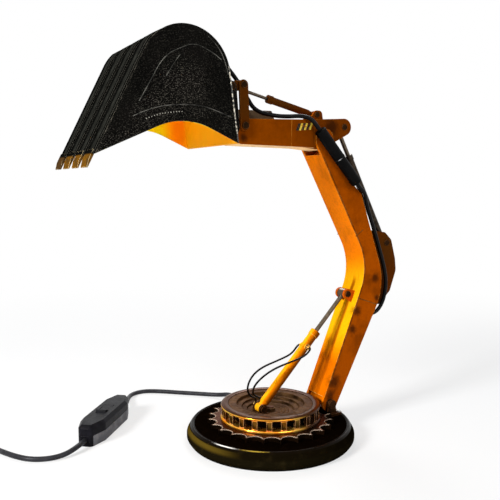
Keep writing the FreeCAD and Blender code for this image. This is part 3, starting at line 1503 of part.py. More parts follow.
add_route("boom_cable", boom_cable_points, cable_radius)

# Hoses of the boom ram

boss_along = float(hose_boss_place)
hose_top_x = float(boom_ram_foot_x) + boss_along * boom_ram[0]
hose_top_z = float(boom_ram_foot_z) + boss_along * boom_ram[1]
fitting_y = float(fitting_end)
port_z = float(port_top)
hose_front_points = [
    (hose_top_x, -fitting_y, hose_top_z),
    (hose_top_x, -fitting_y - 3.4, hose_top_z),
    (34, -11.5, 82.5),
    (20.5, -9.5, 78.6),
    (1, -7.5, 73.8),
    (-13.5, -5.5, 66),
    (-20.5, -1, 56),
    (-17.5, 6, 46),
    (-7.5, 12, 39.5),
    (port_places[0][0], port_places[0][1], 36.5),
    (port_places[0][0], port_places[0][1], port_z),
]
hose_rear_points = [
    (hose_top_x, fitting_y, hose_top_z),
    (hose_top_x, fitting_y + 3.4, hose_top_z),
    (33.5, 11.5, 80),
    (17.5, 9.5, 76.4),
    (-3.5, 9, 71.8),
    (-14.5, 9, 65.8),
    (-20.3, 9.5, 57.5),
    (-21, 11, 48.5),
    (-14.5, 15, 40.5),
    (port_places[1][0], port_places[1][1], 36.5),
    (port_places[1][0], port_places[1][1], port_z),
]
add_route("hose_front", hose_front_points, hose_radius)
add_route("hose_rear", hose_rear_points, hose_radius)

# The mains lead: out of the back of the base, through the switch, and wound up out of the way

switch_way = V(math.cos(math.radians(switch_turn)), math.sin(math.radians(switch_turn)), 0)
switch_centre = V(float(switch_x), float(switch_y), float(lead_entry))
switch_near = switch_centre + switch_way * float(switch_half_length)
switch_far = switch_centre - switch_way * float(switch_half_length)
rest = float(lead_rest)
cord_rear_points = [
    (float(relief_x), float(relief_end), float(relief_z)),
    (float(relief_x), float(relief_end) + 12, float(relief_z)),
    (10, 137, rest + 0.8),
    (-7, 155, rest),
    (-26, 171, rest),
    (-45, 188, rest),
    (-63, 199, rest),
    (-80, 194, rest),
    (-91.5, 175, rest + 1),
    tuple(switch_near + switch_way * 13),
    tuple(switch_near),
]
coil_start = V(float(coil_x) + float(coil_radius), float(coil_y), rest)
coil_lead_in = 2 * float(lead_radius)
cord_front_points = [
    tuple(switch_far),
    tuple(switch_far - switch_way * 12),
    (-195, 51, rest + 1),
    (-210, 51, rest),
    (-226, 58, rest),
    (-238, 74, rest),
    (-249, 97, rest),
    (-259.5, 119, rest),
    tuple(coil_start - V(0, coil_lead_in + 14, 0)),
    tuple(coil_start - V(0, coil_lead_in, 0)),
]
rear_length = add_route("cord_rear", cord_rear_points, lead_radius)
front_length = add_route("cord_front", cord_front_points, lead_radius)


def coil_place(turn):
    """A point of the coil: a spiral in on the floor, a climb where it reverses, and a spiral out."""
    pitch = float(coil_pitch)
    middle = coil_turns / 2
    climb = 0.25
    off = turn - middle
    if abs(off) < climb:
        inward = middle - (climb / 2 + off * off / (2 * climb))
        share = (off + climb) / (2 * climb)
        rise = share * share * (3 - 2 * share)
    else:
        inward = middle - abs(off)
        rise = 1 if off > 0 else 0
    reach = float(coil_radius) - pitch * inward
    angle = 2 * math.pi * turn
    height = rest + rise * (float(plug_half_height) - rest)
    return V(float(coil_x) + reach * math.cos(angle), float(coil_y) + reach * math.sin(angle), height)


def coil_heading(turn):
    step = 1e-4
    if turn < step or turn > coil_turns - step:
        angle = 2 * math.pi * turn
        return V(-math.sin(angle), math.cos(angle), 0)
    return (coil_place(turn + step) - coil_place(turn - step)).normalize()


quarters = [0.25 * i for i in range(int(coil_turns / 0.25) + 1)]
coil_edges = [Part.LineSegment(coil_place(0) - V(0, coil_lead_in, 0), coil_place(0)).toShape()]
for here, following in zip(quarters, quarters[1:]):
    coil_edges += biarc(coil_place(here), coil_heading(here), coil_place(following), coil_heading(following))
coil_end = coil_place(coil_turns)
coil_edges.append(Part.LineSegment(coil_end, coil_end + coil_heading(coil_turns) * float(plug_lead)).toShape())
coil_wire = Part.Wire(Part.__sortEdges__(coil_edges))
coil_length = add_tube("cord_coil", coil_wire, lead_radius)

samples = coil_wire.discretize(Number=1200)
apart = coil_length / len(samples)
skip = int(8 * float(lead_radius) / apart)
gap = min(
    (samples[i] - samples[j]).Length for i in range(len(samples)) for j in range(i + skip, len(samples), 2)
) - 2 * float(lead_radius)
print("cord_coil: length %.0f, least gap to itself %.2f" % (coil_length, gap))
lead_length = rear_length + front_length + coil_length + 2 * float(switch_half_length)
print("mains lead: whole length %.0f" % lead_length)

doc.recompute()

# Check every object, then write each sub-part

for thing in doc.Objects:
    if "Invalid" in thing.State or "Error" in thing.State:
        raise RuntimeError(thing.Label + ": " + ", ".join(thing.State))
for piece in pieces:
    if piece.Shape.isNull() or not piece.Shape.isValid() or not piece.Shape.Solids:
        raise RuntimeError(piece.Label + ": no valid solid")
os.makedirs("parts", exist_ok=True)
for piece in pieces:
    piece.Shape.exportStep("parts/%s.step" % piece.Label)
print("%d sub-parts written" % len(pieces))
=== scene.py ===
import json
import math
import bmesh
import bpy
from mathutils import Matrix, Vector


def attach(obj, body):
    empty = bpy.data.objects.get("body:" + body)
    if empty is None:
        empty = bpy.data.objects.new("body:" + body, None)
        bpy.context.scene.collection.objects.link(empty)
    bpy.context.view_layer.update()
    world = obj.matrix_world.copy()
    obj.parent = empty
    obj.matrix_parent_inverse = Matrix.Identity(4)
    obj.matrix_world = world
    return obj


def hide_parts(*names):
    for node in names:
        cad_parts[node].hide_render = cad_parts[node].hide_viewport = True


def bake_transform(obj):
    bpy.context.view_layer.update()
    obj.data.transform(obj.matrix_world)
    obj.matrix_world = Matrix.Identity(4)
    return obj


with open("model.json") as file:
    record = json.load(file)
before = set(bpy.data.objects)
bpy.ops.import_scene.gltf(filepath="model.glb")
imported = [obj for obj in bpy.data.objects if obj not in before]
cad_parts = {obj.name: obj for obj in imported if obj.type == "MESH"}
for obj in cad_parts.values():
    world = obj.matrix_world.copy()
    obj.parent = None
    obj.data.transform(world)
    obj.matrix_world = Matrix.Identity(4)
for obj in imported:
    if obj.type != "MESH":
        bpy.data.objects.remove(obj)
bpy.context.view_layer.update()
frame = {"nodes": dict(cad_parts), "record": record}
nodes = frame["nodes"]
bodies = frame["record"]["behaviour"]["bodies"]
body_of = {node: body for body, held in bodies.items() for node in held}
MM = 0.001

# The bucket in metres: the centre of its round back, and the ends of its straight plates
CROWN, BACK_RADIUS = Vector((-0.113, 0, 0.3475)), 0.04
LIP, LIP_OUT = Vector((-0.191, 0, 0.281)), Vector((-0.8962, 0, 0.4437))
HEEL, HEEL_OUT = Vector((-0.065, 0, 0.2923)), Vector((0.9907, 0, 0.1357))
LIP_DOWN = Vector((-LIP_OUT.z, 0, LIP_OUT.x))
HEEL_DOWN = Vector((HEEL_OUT.z, 0, -HEEL_OUT.x))
HALF_WIDTH, WALL = 0.0525, 0.0018
OUTER_RIB, RIB_PITCH = 0.0415, 0.02766

# Where trim lies on the sides of the bucket and the arm, in millimetres from the middle plane
BUCKET_SIDE, DASH_SIDE, ARM_SIDE = 52.6, 52.55, 15.5

# Radii of the supply cable, the hoses and the mains lead in millimetres
CABLE, HOSE, LEAD = 2.1, 1.0, 2.5

# The switch: the way it points, and half its length in millimetres
SWITCH_TURN = math.radians(49.75)
SWITCH_WAY = Vector((math.cos(SWITCH_TURN), math.sin(SWITCH_TURN), 0))
HALF_SWITCH = 50

# Edges sharper than this, in degrees, stay sharp on the solids and on what is laid on them
SOLID_CREASE, TRIM_CREASE = 32, 40


def put(name, data):
    """A new object of the scene that shows the data."""
    made = bpy.data.objects.new(name, data)
    bpy.context.scene.collection.objects.link(made)
    return made


# Colours and finishes

def tint(*screen):
    """A colour from its 0 to 255 screen values."""
    linear = (((c / 255 + 0.055) / 1.055) ** 2.4 if c > 10 else c / 255 / 12.92 for c in screen)
    return (*linear, 1)


def add_node(tree, kind, inputs=(), **settings):
    """A node with its settings; an input is given a socket to link to, or a plain value."""
    node = tree.nodes.new(kind)
    for setting, value in settings.items():
        setattr(node, setting, value)
    for key, value in dict(inputs).items():
        if isinstance(value, bpy.types.NodeSocket):
            tree.links.new(value, node.inputs[key])
        else:
            node.inputs[key].default_value = value
    return node


class Finish:
    """A paint, metal, rubber or plastic, built up node by node."""

    def __init__(self, name, rough, metal=0.0, **sockets):
        self.material = bpy.data.materials.new(name)
        self.material.use_nodes = True
        self.tree = self.material.node_tree
        self.shader = self.tree.nodes["Principled BSDF"]
        self.shader.inputs["Roughness"].default_value = rough
        self.shader.inputs["Metallic"].default_value = metal
        for socket, value in sockets.items():
            self.shader.inputs[socket.replace("_", " ")].default_value = value
        coordinates = self.add("ShaderNodeTexCoord").outputs
        self.place = coordinates["Object"]
        self.facing = coordinates["Normal"]

    def add(self, kind, inputs=(), **settings):
        return add_node(self.tree, kind, inputs, **settings)

    def stretched(self, x, y, z):
        """The place, scaled apart along the axes."""
        mapping = self.add("ShaderNodeMapping", {"Vector": self.place, "Scale": (x, y, z)})
        return mapping.outputs["Vector"]

    def noise(self, scale, detail=4.0, vector=None, rough=0.55):
        source = self.place if vector is None else vector
        inputs = {"Vector": source, "Scale": scale, "Detail": detail, "Roughness": rough}
        return self.add("ShaderNodeTexNoise", inputs).outputs["Fac"]

    def math(self, operation, first, second=0.0, clamp=False):
        node = self.add("ShaderNodeMath", {0: first, 1: second}, operation=operation, use_clamp=clamp)
        return node.outputs["Value"]

    def times(self, first, *others):
        for other in others:
            first = self.math("MULTIPLY", first, other)
        return first

    def vectors(self, operation, first, second=(0, 0, 0)):
        """A number from one or two vectors: a distance, a length or a dot product."""
        node = self.add("ShaderNodeVectorMath", {0: first, 1: second}, operation=operation)
        return node.outputs["Value"]

    def band(self, source, low, high, start=0.0, end=1.0):
        """Rises from start to end as the source goes from low to high."""
        inputs = {"Value": source, "From Min": low, "From Max": high, "To Min": start, "To Max": end}
        return self.add("ShaderNodeMapRange", inputs, interpolation_type="SMOOTHSTEP").outputs["Result"]

    def between(self, source, foot, low, high, top):
        """1 from low to high, and fading to 0 at the foot and the top."""
        return self.times(self.band(source, foot, low), self.band(source, top, high))

    def mix(self, share, first, second):
        """The first colour, and the second one where the share is 1."""
        node = self.add("ShaderNodeMix", data_type="RGBA")
        sockets = [s for s in node.inputs if s.enabled]
        for socket, value in zip(sockets, (share, first, second)):
            if isinstance(value, bpy.types.NodeSocket):
                self.tree.links.new(value, socket)
            else:
                socket.default_value = value
        return next(s for s in node.outputs if s.enabled)

    def parts(self, vector):
        node = self.add("ShaderNodeSeparateXYZ", {"Vector": vector})
        return node.outputs["X"], node.outputs["Y"], node.outputs["Z"]

    def height(self):
        return self.parts(self.place)[2]

    def reach(self, first, second):
        """The length of a way from its two parts."""
        return self.math("SQRT", self.math("ADD", self.times(first, first), self.times(second, second)))

    def from_axis(self):
        """Distance from the upright axis of the hub."""
        x, y, _ = self.parts(self.place)
        return self.reach(x, y)

    def arched(self, x, z, across, along):
        """Coordinates round a centre in the plane of the arm, for marks that follow an arch."""
        px, py, pz = self.parts(self.place)
        ahead, above = self.math("SUBTRACT", px, x), self.math("SUBTRACT", pz, z)
        angle = self.math("ARCTAN2", above, ahead)
        inputs = {0: self.times(self.reach(ahead, above), across), 1: self.times(angle, along), 2: py}
        return self.add("ShaderNodeCombineXYZ", inputs).outputs["Vector"]

    def spot(self, centre, radius):
        """Near 1 within the radius of a place, with a ragged edge."""
        away = self.vectors("DISTANCE", self.place, centre)
        ragged = self.math("ADD", away, self.times(self.noise(230, 4), radius))
        return self.band(ragged, radius * 0.7, radius * 1.7, 1, 0)

    def edges(self, radius):
        """Near 1 on sharp edges and near 0 on flats."""
        soft = self.add("ShaderNodeBevel", {"Radius": radius}, samples=4).outputs["Normal"]
        true = self.add("ShaderNodeNewGeometry").outputs["Normal"]
        return self.math("SUBTRACT", 1.0, self.vectors("DOT_PRODUCT", soft, true), clamp=True)

    def colour(self, source):
        self.tree.links.new(source, self.shader.inputs["Base Color"])

    def rough(self, source):
        self.tree.links.new(source, self.shader.inputs["Roughness"])

    def bump(self, source, depth, strength=1.0):
        node = self.add("ShaderNodeBump", {"Height": source, "Distance": depth, "Strength": strength})
        self.tree.links.new(node.outputs["Normal"], self.shader.inputs["Normal"])


def machine_paint(
    name, lit, side, back, worn, under=None, glow=None, spots=(), turn=(0.1, 0.6), tail=None, ram_shadow=None,
):
    """Old machine paint with painted light and shade: lit on the front, painted shade on the sides and
    back by the way each face looks, with smudges, and paler worn edges that also paint highlights.

    Faces that look down may have a paler colour under, which is painted light. A glow is painted light
    on the front between two heights, and the painted darker colour below it; the dark streak down the
    front is the painted shadow of the boom's ram; and a tail is what the sides darken to towards the
    back.
    Spots are dark smudges, the one on the stick's horn painted shade, and turn is where the back
    begins.
    """
    paint = Finish(name, 0.5, Specular_IOR_Level=0.015, Specular_Tint=tint(255, 150, 40))
    nx, ny, nz = paint.parts(paint.facing)
    # Lit and shaded copies by the way a face looks: the front is painted light, the sides and back
    # painted shade
    across = paint.band(paint.math("ABSOLUTE", ny), 0.35, 0.8)
    behind = paint.band(nx, *turn)
    smudge = paint.band(paint.noise(38, 6), 0.42, 0.72)
    streak = paint.band(paint.noise(90, 5, paint.stretched(1.0, 1.0, 0.22)), 0.48, 0.75)
    fine = paint.band(paint.noise(420, 3), 0.4, 0.75)
    front = paint.mix(paint.times(smudge, 0.25), lit, tint(222, 104, 0))
    # A band of painted light on the front between two heights, over a painted darker colour below it
    if glow:
        low, high, shade, foot = glow
        front = paint.mix(paint.band(paint.height(), low, low - 0.035), front, foot)
        rise = paint.band(paint.height(), low - 0.03, low + 0.01)
        fall = paint.band(paint.height(), high - 0.015, high + 0.02, 1, 0)
        front = paint.mix(paint.times(rise, fall), front, shade)
    # Painted light on the faces that look down
    if under:
        front = paint.mix(paint.band(nz, -0.3, -0.8), front, under)
    # The painted shadow of the boom's ram, a dark streak down the front
    if ram_shadow:
        middle, half_width, top, shadow_colour = ram_shadow
        _, y, z = paint.parts(paint.place)
        wander = paint.times(paint.math("SUBTRACT", paint.noise(45, 3), 0.5), 0.004)
        off = paint.math("ABSOLUTE", paint.math("ADD", paint.math("SUBTRACT", y, middle), wander))
        streaked = paint.band(off, half_width, half_width * 0.2)
        paling = paint.band(z, 0.03, 0.1, 0.35, 0.85)
        dark = paint.times(streaked, paint.band(z, top, top - 0.012), paling)
        front = paint.mix(dark, front, shadow_colour)
    flank = paint.mix(paint.times(smudge, 0.6), side, tint(96, 40, 0))
    if tail:
        flank = paint.mix(paint.band(paint.parts(paint.place)[0], 0.0, 0.06, 0.0, 0.75), flank, tail)
    colour = paint.mix(behind, paint.mix(across, front, flank), back)
    colour = paint.mix(paint.times(streak, 0.3), colour, tint(92, 38, 2))
    colour = paint.mix(paint.times(fine, 0.14), colour, tint(60, 26, 2))
    # Dark smudges, but on the stick's horn the spot is painted shade
    for centre, radius in spots:
        colour = paint.mix(paint.times(paint.spot(centre, radius), 0.8), colour, tint(40, 18, 6))
    # Paler worn edges, which also paint the highlights along them
    rim = paint.band(paint.edges(0.0006), 0.02, 0.12)
    patchy = paint.times(rim, paint.band(paint.noise(160, 4), 0.34, 0.56))
    paint.colour(paint.mix(paint.times(patchy, 0.85), colour, worn))
    paint.rough(paint.band(paint.noise(90, 5), 0.3, 0.75, 0.36, 0.58))
    paint.bump(paint.noise(900, 2), 0.00004, 0.5)
    return paint


boom_paint = machine_paint(
    "boom_orange_paint", tint(250, 130, 0), tint(166, 74, 0), tint(96, 44, 0), tint(255, 190, 90),
    # On the belly: a yellow band of painted light, over a darker painted orange at the foot
    glow=(0.1, 0.165, tint(255, 180, 10), tint(232, 114, 0)),
    spots=(
        ((0.0973, -0.0155, 0.1241), 0.007), ((0.092, -0.0155, 0.1051), 0.006),
        ((0.069, -0.0155, 0.0508), 0.009), ((0.064, -0.0155, 0.038), 0.007),
        ((0.122, -0.0155, 0.158), 0.006), ((0.124, -0.0155, 0.136), 0.004),
    ),
    # The dark streak down the front is the painted shadow of the ram
    ram_shadow=(-0.001, 0.0042, 0.163, tint(148, 62, 0)),
)
stick_paint = machine_paint(
    "stick_orange_paint", tint(206, 96, 0), tint(144, 66, 0), tint(120, 56, 0), tint(220, 140, 50),
    # A paler underside that is painted light, and a spot of painted shade on the horn
    under=tint(255, 212, 150), spots=(((0.064, -0.0123, 0.3145), 0.01), ((-0.04, -0.0155, 0.3), 0.005)),
    tail=tint(98, 44, 2),
)
guard_paint = machine_paint(
    "guard_grey_brown_paint", tint(96, 82, 62), tint(108, 92, 70), tint(80, 66, 48), tint(160, 138, 108)
)
ram_paint = machine_paint(
    "ram_orange_paint", tint(255, 176, 20), tint(226, 118, 0), tint(128, 62, 4), tint(255, 205, 110),
    # On the barrel the painted shade begins early, down the side away from the light
    turn=(-0.62, 0.0),
)
lug_paint = machine_paint(
    "lug_red_orange_paint", tint(196, 84, 4), tint(186, 80, 4), tint(150, 60, 0), tint(240, 150, 60)
)
brown_paint = machine_paint(
    "linkage_brown_paint", tint(106, 56, 10), tint(84, 44, 8), tint(62, 34, 8), tint(176, 108, 46)
)


def hammered_black():
    """Black bucket enamel, grained and scratched across; the pale specks and scratches are painted
    highlights.
    """
    paint = Finish("hammered_black", 0.55, Specular_IOR_Level=0.015)
    grain = paint.noise(820, 2, paint.stretched(1.0, 1.0, 1.5))
    scratch = paint.noise(1.0, 4, paint.arched(x=-0.112, z=0.245, across=1150, along=17), 0.65)
    cloud = paint.band(paint.noise(34, 4), 0.35, 0.7)
    # Pale specks of the grain and pale scratches: painted highlights
    speck = paint.band(grain, 0.56, 0.66)
    hatch = paint.band(scratch, 0.56, 0.7)
    base = paint.mix(cloud, tint(4, 4, 3), tint(11, 10, 8))
    # The painted highlights are strongest in patches and at two places near the crown on the near side
    strong = paint.band(paint.noise(26, 3), 0.42, 0.66, 0.0, 0.7)
    for place, radius in (((-0.118, -HALF_WIDTH, 0.335), 0.03), ((-0.134, -HALF_WIDTH, 0.32), 0.02)):
        strong = paint.math("MAXIMUM", strong, paint.spot(place, radius))
    light = paint.math("ADD", paint.times(speck, 0.5), paint.times(hatch, 0.42), clamp=True)
    light = paint.times(light, paint.band(strong, 0, 1, 0.16, 0.74))
    colour = paint.mix(light, base, tint(136, 130, 118))
    rim = paint.band(paint.edges(0.0007), 0.02, 0.15)
    paler_part = paint.times(rim, paint.band(paint.noise(220, 4), 0.42, 0.66))
    paint.colour(paint.mix(paint.times(paler_part, 0.7), colour, tint(150, 142, 126)))
    paint.rough(paint.band(grain, 0.3, 0.7, 0.66, 0.42))
    relief = paint.math("ADD", grain, paint.times(scratch, 0.8))
    paint.bump(relief, 0.0002, 0.8)
    return paint


bucket_black = hammered_black()


def golden_lining():
    """The yellow inside of the bucket, which the bulb lights, with painted light in its colour:
    yellower towards the lip, a painted highlight near the back plate, and another painted tone on faces
    that look towards the lip.
    """
    paint = Finish("golden_lining", 0.6, Specular_IOR_Level=0.05)
    nx = paint.parts(paint.facing)[0]
    along = paint.parts(paint.place)[0]
    # Painted light: yellower towards the lip, and a painted highlight near the back plate
    side = paint.mix(paint.band(along, -0.1, -0.078), tint(206, 210, 10), tint(236, 130, 0))
    side = paint.mix(paint.band(along, -0.073, -0.068), side, tint(240, 162, 6))
    # Faces that look towards the lip take another painted tone of light
    colour = paint.mix(paint.band(nx, -0.2, -0.7), side, tint(212, 148, 2))
    warm = paint.times(paint.band(paint.noise(60, 3), 0.3, 0.7), 0.25)
    paint.colour(paint.mix(warm, colour, tint(240, 140, 0)))
    paint.bump(paint.noise(300, 3), 0.0001, 0.4)
    return paint


bucket_gold = golden_lining()


def rib_iron():
    """The bucket's ribs: painted shade along their sides, painted light along the middle, and painted
    highlights on their edges.
    """
    paint = Finish("rib_iron", 0.6, Specular_IOR_Level=0.0)
    streak = paint.noise(260, 5, paint.stretched(0.5, 1.6, 0.5))
    count = paint.times(paint.math("ADD", paint.parts(paint.place)[1], OUTER_RIB), 1 / RIB_PITCH)
    off = paint.math("SUBTRACT", paint.math("FRACT", paint.math("ADD", count, 0.5)), 0.5)
    # The middle of each rib is painted light, and its sides painted shade
    middle = paint.band(paint.math("ABSOLUTE", paint.math("ADD", off, 0.07)), 0.2, 0.1)
    paler_part = paint.mix(paint.band(streak, 0.4, 0.7), tint(26, 26, 23), tint(41, 41, 37))
    rib_side_shade = paint.mix(paint.band(streak, 0.4, 0.7), tint(6, 6, 5), tint(13, 13, 12))
    colour = paint.mix(middle, rib_side_shade, paler_part)
    # Pale edges: painted highlights
    rim = paint.band(paint.edges(0.0009), 0.01, 0.12)
    paint.colour(paint.mix(paint.times(rim, 0.6), colour, tint(96, 93, 84)))
    paint.rough(paint.band(paint.noise(340, 4), 0.3, 0.7, 0.32, 0.55))
    paint.bump(streak, 0.0001, 0.5)
    return paint


rib_metal = rib_iron()


def tooth_metal():
    """Teeth: dark above, worn to a golden brown below, with glints on the edges."""
    paint = Finish("tooth_metal", 0.45, Specular_IOR_Level=0.0)
    down = paint.vectors("DOT_PRODUCT", paint.place, LIP_DOWN)
    from_lip = paint.math("SUBTRACT", down, LIP.dot(LIP_DOWN))
    worn = paint.band(from_lip, 0.0002, 0.002)
    chip = paint.band(paint.noise(200, 5), 0.4, 0.7)
    gold = paint.mix(chip, tint(102, 66, 12), tint(66, 48, 22))
    far_side = paint.band(paint.parts(paint.place)[1], 0.018, 0.03, 0.0, 0.7)
    gold = paint.mix(far_side, gold, tint(44, 34, 24))
    colour = paint.mix(worn, tint(9, 9, 8), gold)
    rim = paint.band(paint.edges(0.0007), 0.02, 0.14)
    glint = paint.times(rim, paint.band(paint.noise(130, 3), 0.4, 0.6))
    paint.colour(paint.mix(glint, colour, tint(226, 206, 160)))
    paint.bump(paint.noise(500, 3), 0.00012, 0.6)
    return paint


tooth_finish = tooth_metal()


def turned_bronze(
    name, low, high, rough, metal=0.9, edge=tint(226, 150, 82), shine=0.8, near=None, within=None,
    shade=None, sheen=0.5, reach=0.0009,
):
    """Bronze in patches from low to high, with its edges in the edge colour: painted highlights on the
    cage and the sprocket, and paler worn edges on the others.

    Near and within keep the pale edges to a height and to a distance from the hub's axis, each given as
    the values where they begin to show and show fully. A shade is painted shade on the cage's top, back
    and posts, while its front keeps the bright colour as painted light. Sheen is the glint of the
    whole, and reach the width of the pale edges.
    """
    paint = Finish(name, rough, metal, Specular_IOR_Level=sheen, Specular_Tint=tint(255, 196, 130))
    patch = paint.band(paint.noise(70, 5), 0.35, 0.7)
    colour = paint.mix(patch, low, high)
    # Painted light and shade: the cage stays bright in front, and its top, back and posts take the
    # painted shade
    if shade:
        ahead = paint.vectors("DOT_PRODUCT", paint.place, (-0.8, -0.6, 0))
        front = paint.times(paint.band(ahead, 0.016, 0.04), paint.band(paint.height(), 0.0364, 0.0352))
        post = paint.between(paint.height(), 0.0254, 0.0262, 0.033, 0.0338)
        colour = paint.mix(paint.times(post, 0.86), colour, shade)
        colour = paint.mix(front, shade, colour)
    # Pale edges: painted highlights on the cage and the sprocket
    rim = paint.times(paint.band(paint.edges(reach), 0.02, 0.16), shine)
    if near:
        rim = paint.times(rim, paint.band(paint.height(), *near))
    if within:
        rim = paint.times(rim, paint.band(paint.from_axis(), *within))
    paint.colour(paint.mix(rim, colour, edge))
    bright = paint.math("SUBTRACT", 1.0, paint.times(rim, 0.7))
    if shade:
        bright = paint.times(bright, paint.math("ADD", paint.times(front, 0.75), 0.25))
    paint.tree.links.new(paint.times(bright, metal), paint.shader.inputs["Metallic"])
    paint.rough(paint.band(paint.noise(230, 4), 0.3, 0.75, rough * 0.75, rough * 1.4))
    paint.bump(paint.noise(700, 2), 0.00003, 0.5)
    return paint


# The cage: painted light in front, painted shade elsewhere, and painted highlights on its edges
cage_bronze = turned_bronze(
    "cage_bronze", tint(244, 150, 34), tint(255, 214, 100), 0.16, edge=tint(255, 190, 134),
    near=(0.0352, 0.0338), shade=tint(50, 27, 10), sheen=0.1,
)
# The sprocket: nearly black, with painted highlights along the top edges of its notches
sprocket_bronze = turned_bronze(
    "sprocket_bronze", tint(16, 9, 4), tint(34, 20, 10), 0.3, 0.5, edge=tint(255, 226, 200),
    near=(0.0206, 0.0216), within=(0.0632, 0.061), shine=1.0, sheen=0.1, reach=0.0016,
)
dish_bronze = turned_bronze(
    "dish_bronze", tint(48, 32, 18), tint(78, 55, 33), 0.45, 0.2, edge=tint(150, 104, 60),
    shine=0.5, sheen=0.03,
)
bracket_bronze = turned_bronze(
    "bracket_bronze", tint(26, 15, 7), tint(48, 28, 13), 0.4, 0.4, edge=tint(170, 108, 60),
    shine=0.5, sheen=0.06,
)


def black_enamel(name, gloss, low, high):
    """Black base with dust; its sides painted a lighter olive brown as reflected light, with warm
    painted highlights on its bead and a painted olive reflection down its left side.
    """
    paint = Finish(name, low, Specular_IOR_Level=gloss, Specular_Tint=tint(255, 226, 180))
    x, _, z = paint.parts(paint.place)
    dust = paint.band(paint.noise(110, 6), 0.5, 0.85)
    colour = paint.mix(paint.times(dust, 0.3), tint(7, 3, 1), tint(30, 19, 9))
    # The sides are painted lighter, as light reflected from them
    upright = paint.band(paint.parts(paint.facing)[2], 0.9, 0.2)
    colour = paint.mix(upright, colour, paint.mix(dust, tint(19, 15, 6), tint(40, 33, 16)))
    # A painted olive reflection down the left side
    gleam = paint.times(paint.band(x, -0.062, -0.083), paint.between(z, 0.009, 0.0125, 0.0142, 0.0154))
    colour = paint.mix(paint.times(gleam, 0.8), colour, tint(88, 70, 20))
    # Painted highlights on the bead, white and then golden further to the right
    crest = paint.between(paint.from_axis(), 0.0785, 0.0791, 0.0802, 0.0806)
    crest = paint.times(crest, paint.band(z, 0.015, 0.0158))
    for place, shade in (
        ((-0.0533, -0.0592, 0.0175), tint(160, 134, 46)),
        ((-0.0713, -0.0354, 0.0175), tint(236, 234, 228)),
    ):
        colour = paint.mix(paint.times(paint.spot(place, 0.014), crest), colour, shade)
    paint.colour(colour)
    paint.rough(paint.band(paint.noise(75, 5), 0.35, 0.8, low, high))
    return paint


base_enamel = black_enamel("black_enamel", 0.0, 0.3, 0.45)
bead_enamel = black_enamel("black_bead_enamel", 0.04, 0.14, 0.24)


def ground_steel(name, low, high, rough):
    """Bare or plated metal with a fine grain round it."""
    metal = Finish(name, rough, 1.0)
    grain = metal.noise(800, 4, metal.stretched(0.3, 1.0, 0.3))
    metal.colour(metal.mix(metal.band(grain, 0.3, 0.7), low, high))
    metal.rough(metal.band(grain, 0.3, 0.7, rough * 0.9, rough * 1.15))
    metal.bump(grain, 0.000005, 0.3)
    return metal


rod_steel = ground_steel("ground_rod_steel", tint(78, 68, 56), tint(102, 90, 76), 0.34)
zinc = ground_steel("zinc_plate", tint(140, 140, 138), tint(186, 186, 184), 0.38)
brass = ground_steel("turned_brass", tint(176, 132, 66), tint(214, 170, 96), 0.28)
dark_ram = ground_steel("dark_ram_metal", tint(38, 32, 26), tint(66, 56, 46), 0.4)


def soft_black(name, base, light, rough, grain=900, depth=0.00004, sheen=0.3):
    """Rubber or plastic: nearly black, with a fine even grain."""
    skin = Finish(name, rough, Specular_IOR_Level=sheen)
    cloud = skin.band(skin.noise(120, 4), 0.35, 0.75)
    skin.colour(skin.mix(cloud, base, light))
    skin.rough(skin.band(skin.noise(grain / 3, 4), 0.3, 0.75, rough * 0.85, rough * 1.2))
    skin.bump(skin.noise(grain, 2), depth, 0.6)
    return skin


rubber = soft_black("black_rubber", tint(4, 4, 4), tint(10, 9, 9), 0.5, sheen=0.05)
cable_skin = soft_black("cable_sheath", tint(4, 3, 3), tint(10, 8, 7), 0.36, sheen=0.1)
lead_skin = soft_black("mains_lead_sheath", tint(32, 32, 35), tint(48, 48, 52), 0.4, sheen=0.12)
switch_plastic = soft_black(
    "switch_plastic", tint(24, 24, 26), tint(38, 38, 41), 0.42, 1600, sheen=0.05
)
# The flank and the shaded copies of the switch plastic are painted light and painted shade
switch_flank = soft_black(
    "switch_flank_plastic", tint(90, 90, 94), tint(116, 116, 120), 0.46, 1600, sheen=0.04
)
switch_shade = soft_black(
    "switch_shaded_plastic", tint(13, 12, 16), tint(24, 23, 28), 0.4, 1600, sheen=0.05
)
# Near black: the core's own dark colour, and painted shade inside the cage
core_black = soft_black("hub_core_black", tint(10, 6, 3), tint(22, 13, 7), 0.5, sheen=0.02)
iron = soft_black("ballast_iron", tint(54, 52, 50), tint(76, 72, 68), 0.7, 500, 0.0002)


def glowing_glass():
    """The bulb's warm white glass, alight."""
    glass = Finish("glowing_bulb_glass", 0.3)
    sheen = glass.band(glass.noise(40, 2), 0.3, 0.7)
    glass.colour(glass.mix(sheen, tint(255, 226, 170), tint(255, 236, 196)))
    glass.shader.inputs["Emission Color"].default_value = tint(255, 212, 140)
    glass.shader.inputs["Emission Strength"].default_value = 4.6
    return glass


lit_glass = glowing_glass()


def edge_wear_and_highlight():
    """The bucket's rear edge, pale in patches: bare worn metal, and a painted highlight along it."""
    metal = Finish("rubbed_edge_metal", 0.5, Specular_IOR_Level=0.4)
    patch = metal.band(metal.noise(420, 5), 0.46, 0.62)
    metal.colour(metal.mix(patch, tint(26, 25, 22), tint(190, 182, 164)))
    metal.bump(metal.noise(600, 3), 0.0001, 0.6)
    return metal


def drawn_line():
    """The pressed lines on the bucket's sides, grey where they catch the light."""
    metal = Finish("pressed_line_grey", 0.6, Specular_IOR_Level=0.1)
    patch = metal.band(metal.noise(120, 4), 0.4, 0.62)
    metal.colour(metal.mix(patch, tint(34, 33, 30), tint(92, 90, 84)))
    metal.bump(metal.noise(600, 3), 0.00005, 0.4)
    return metal


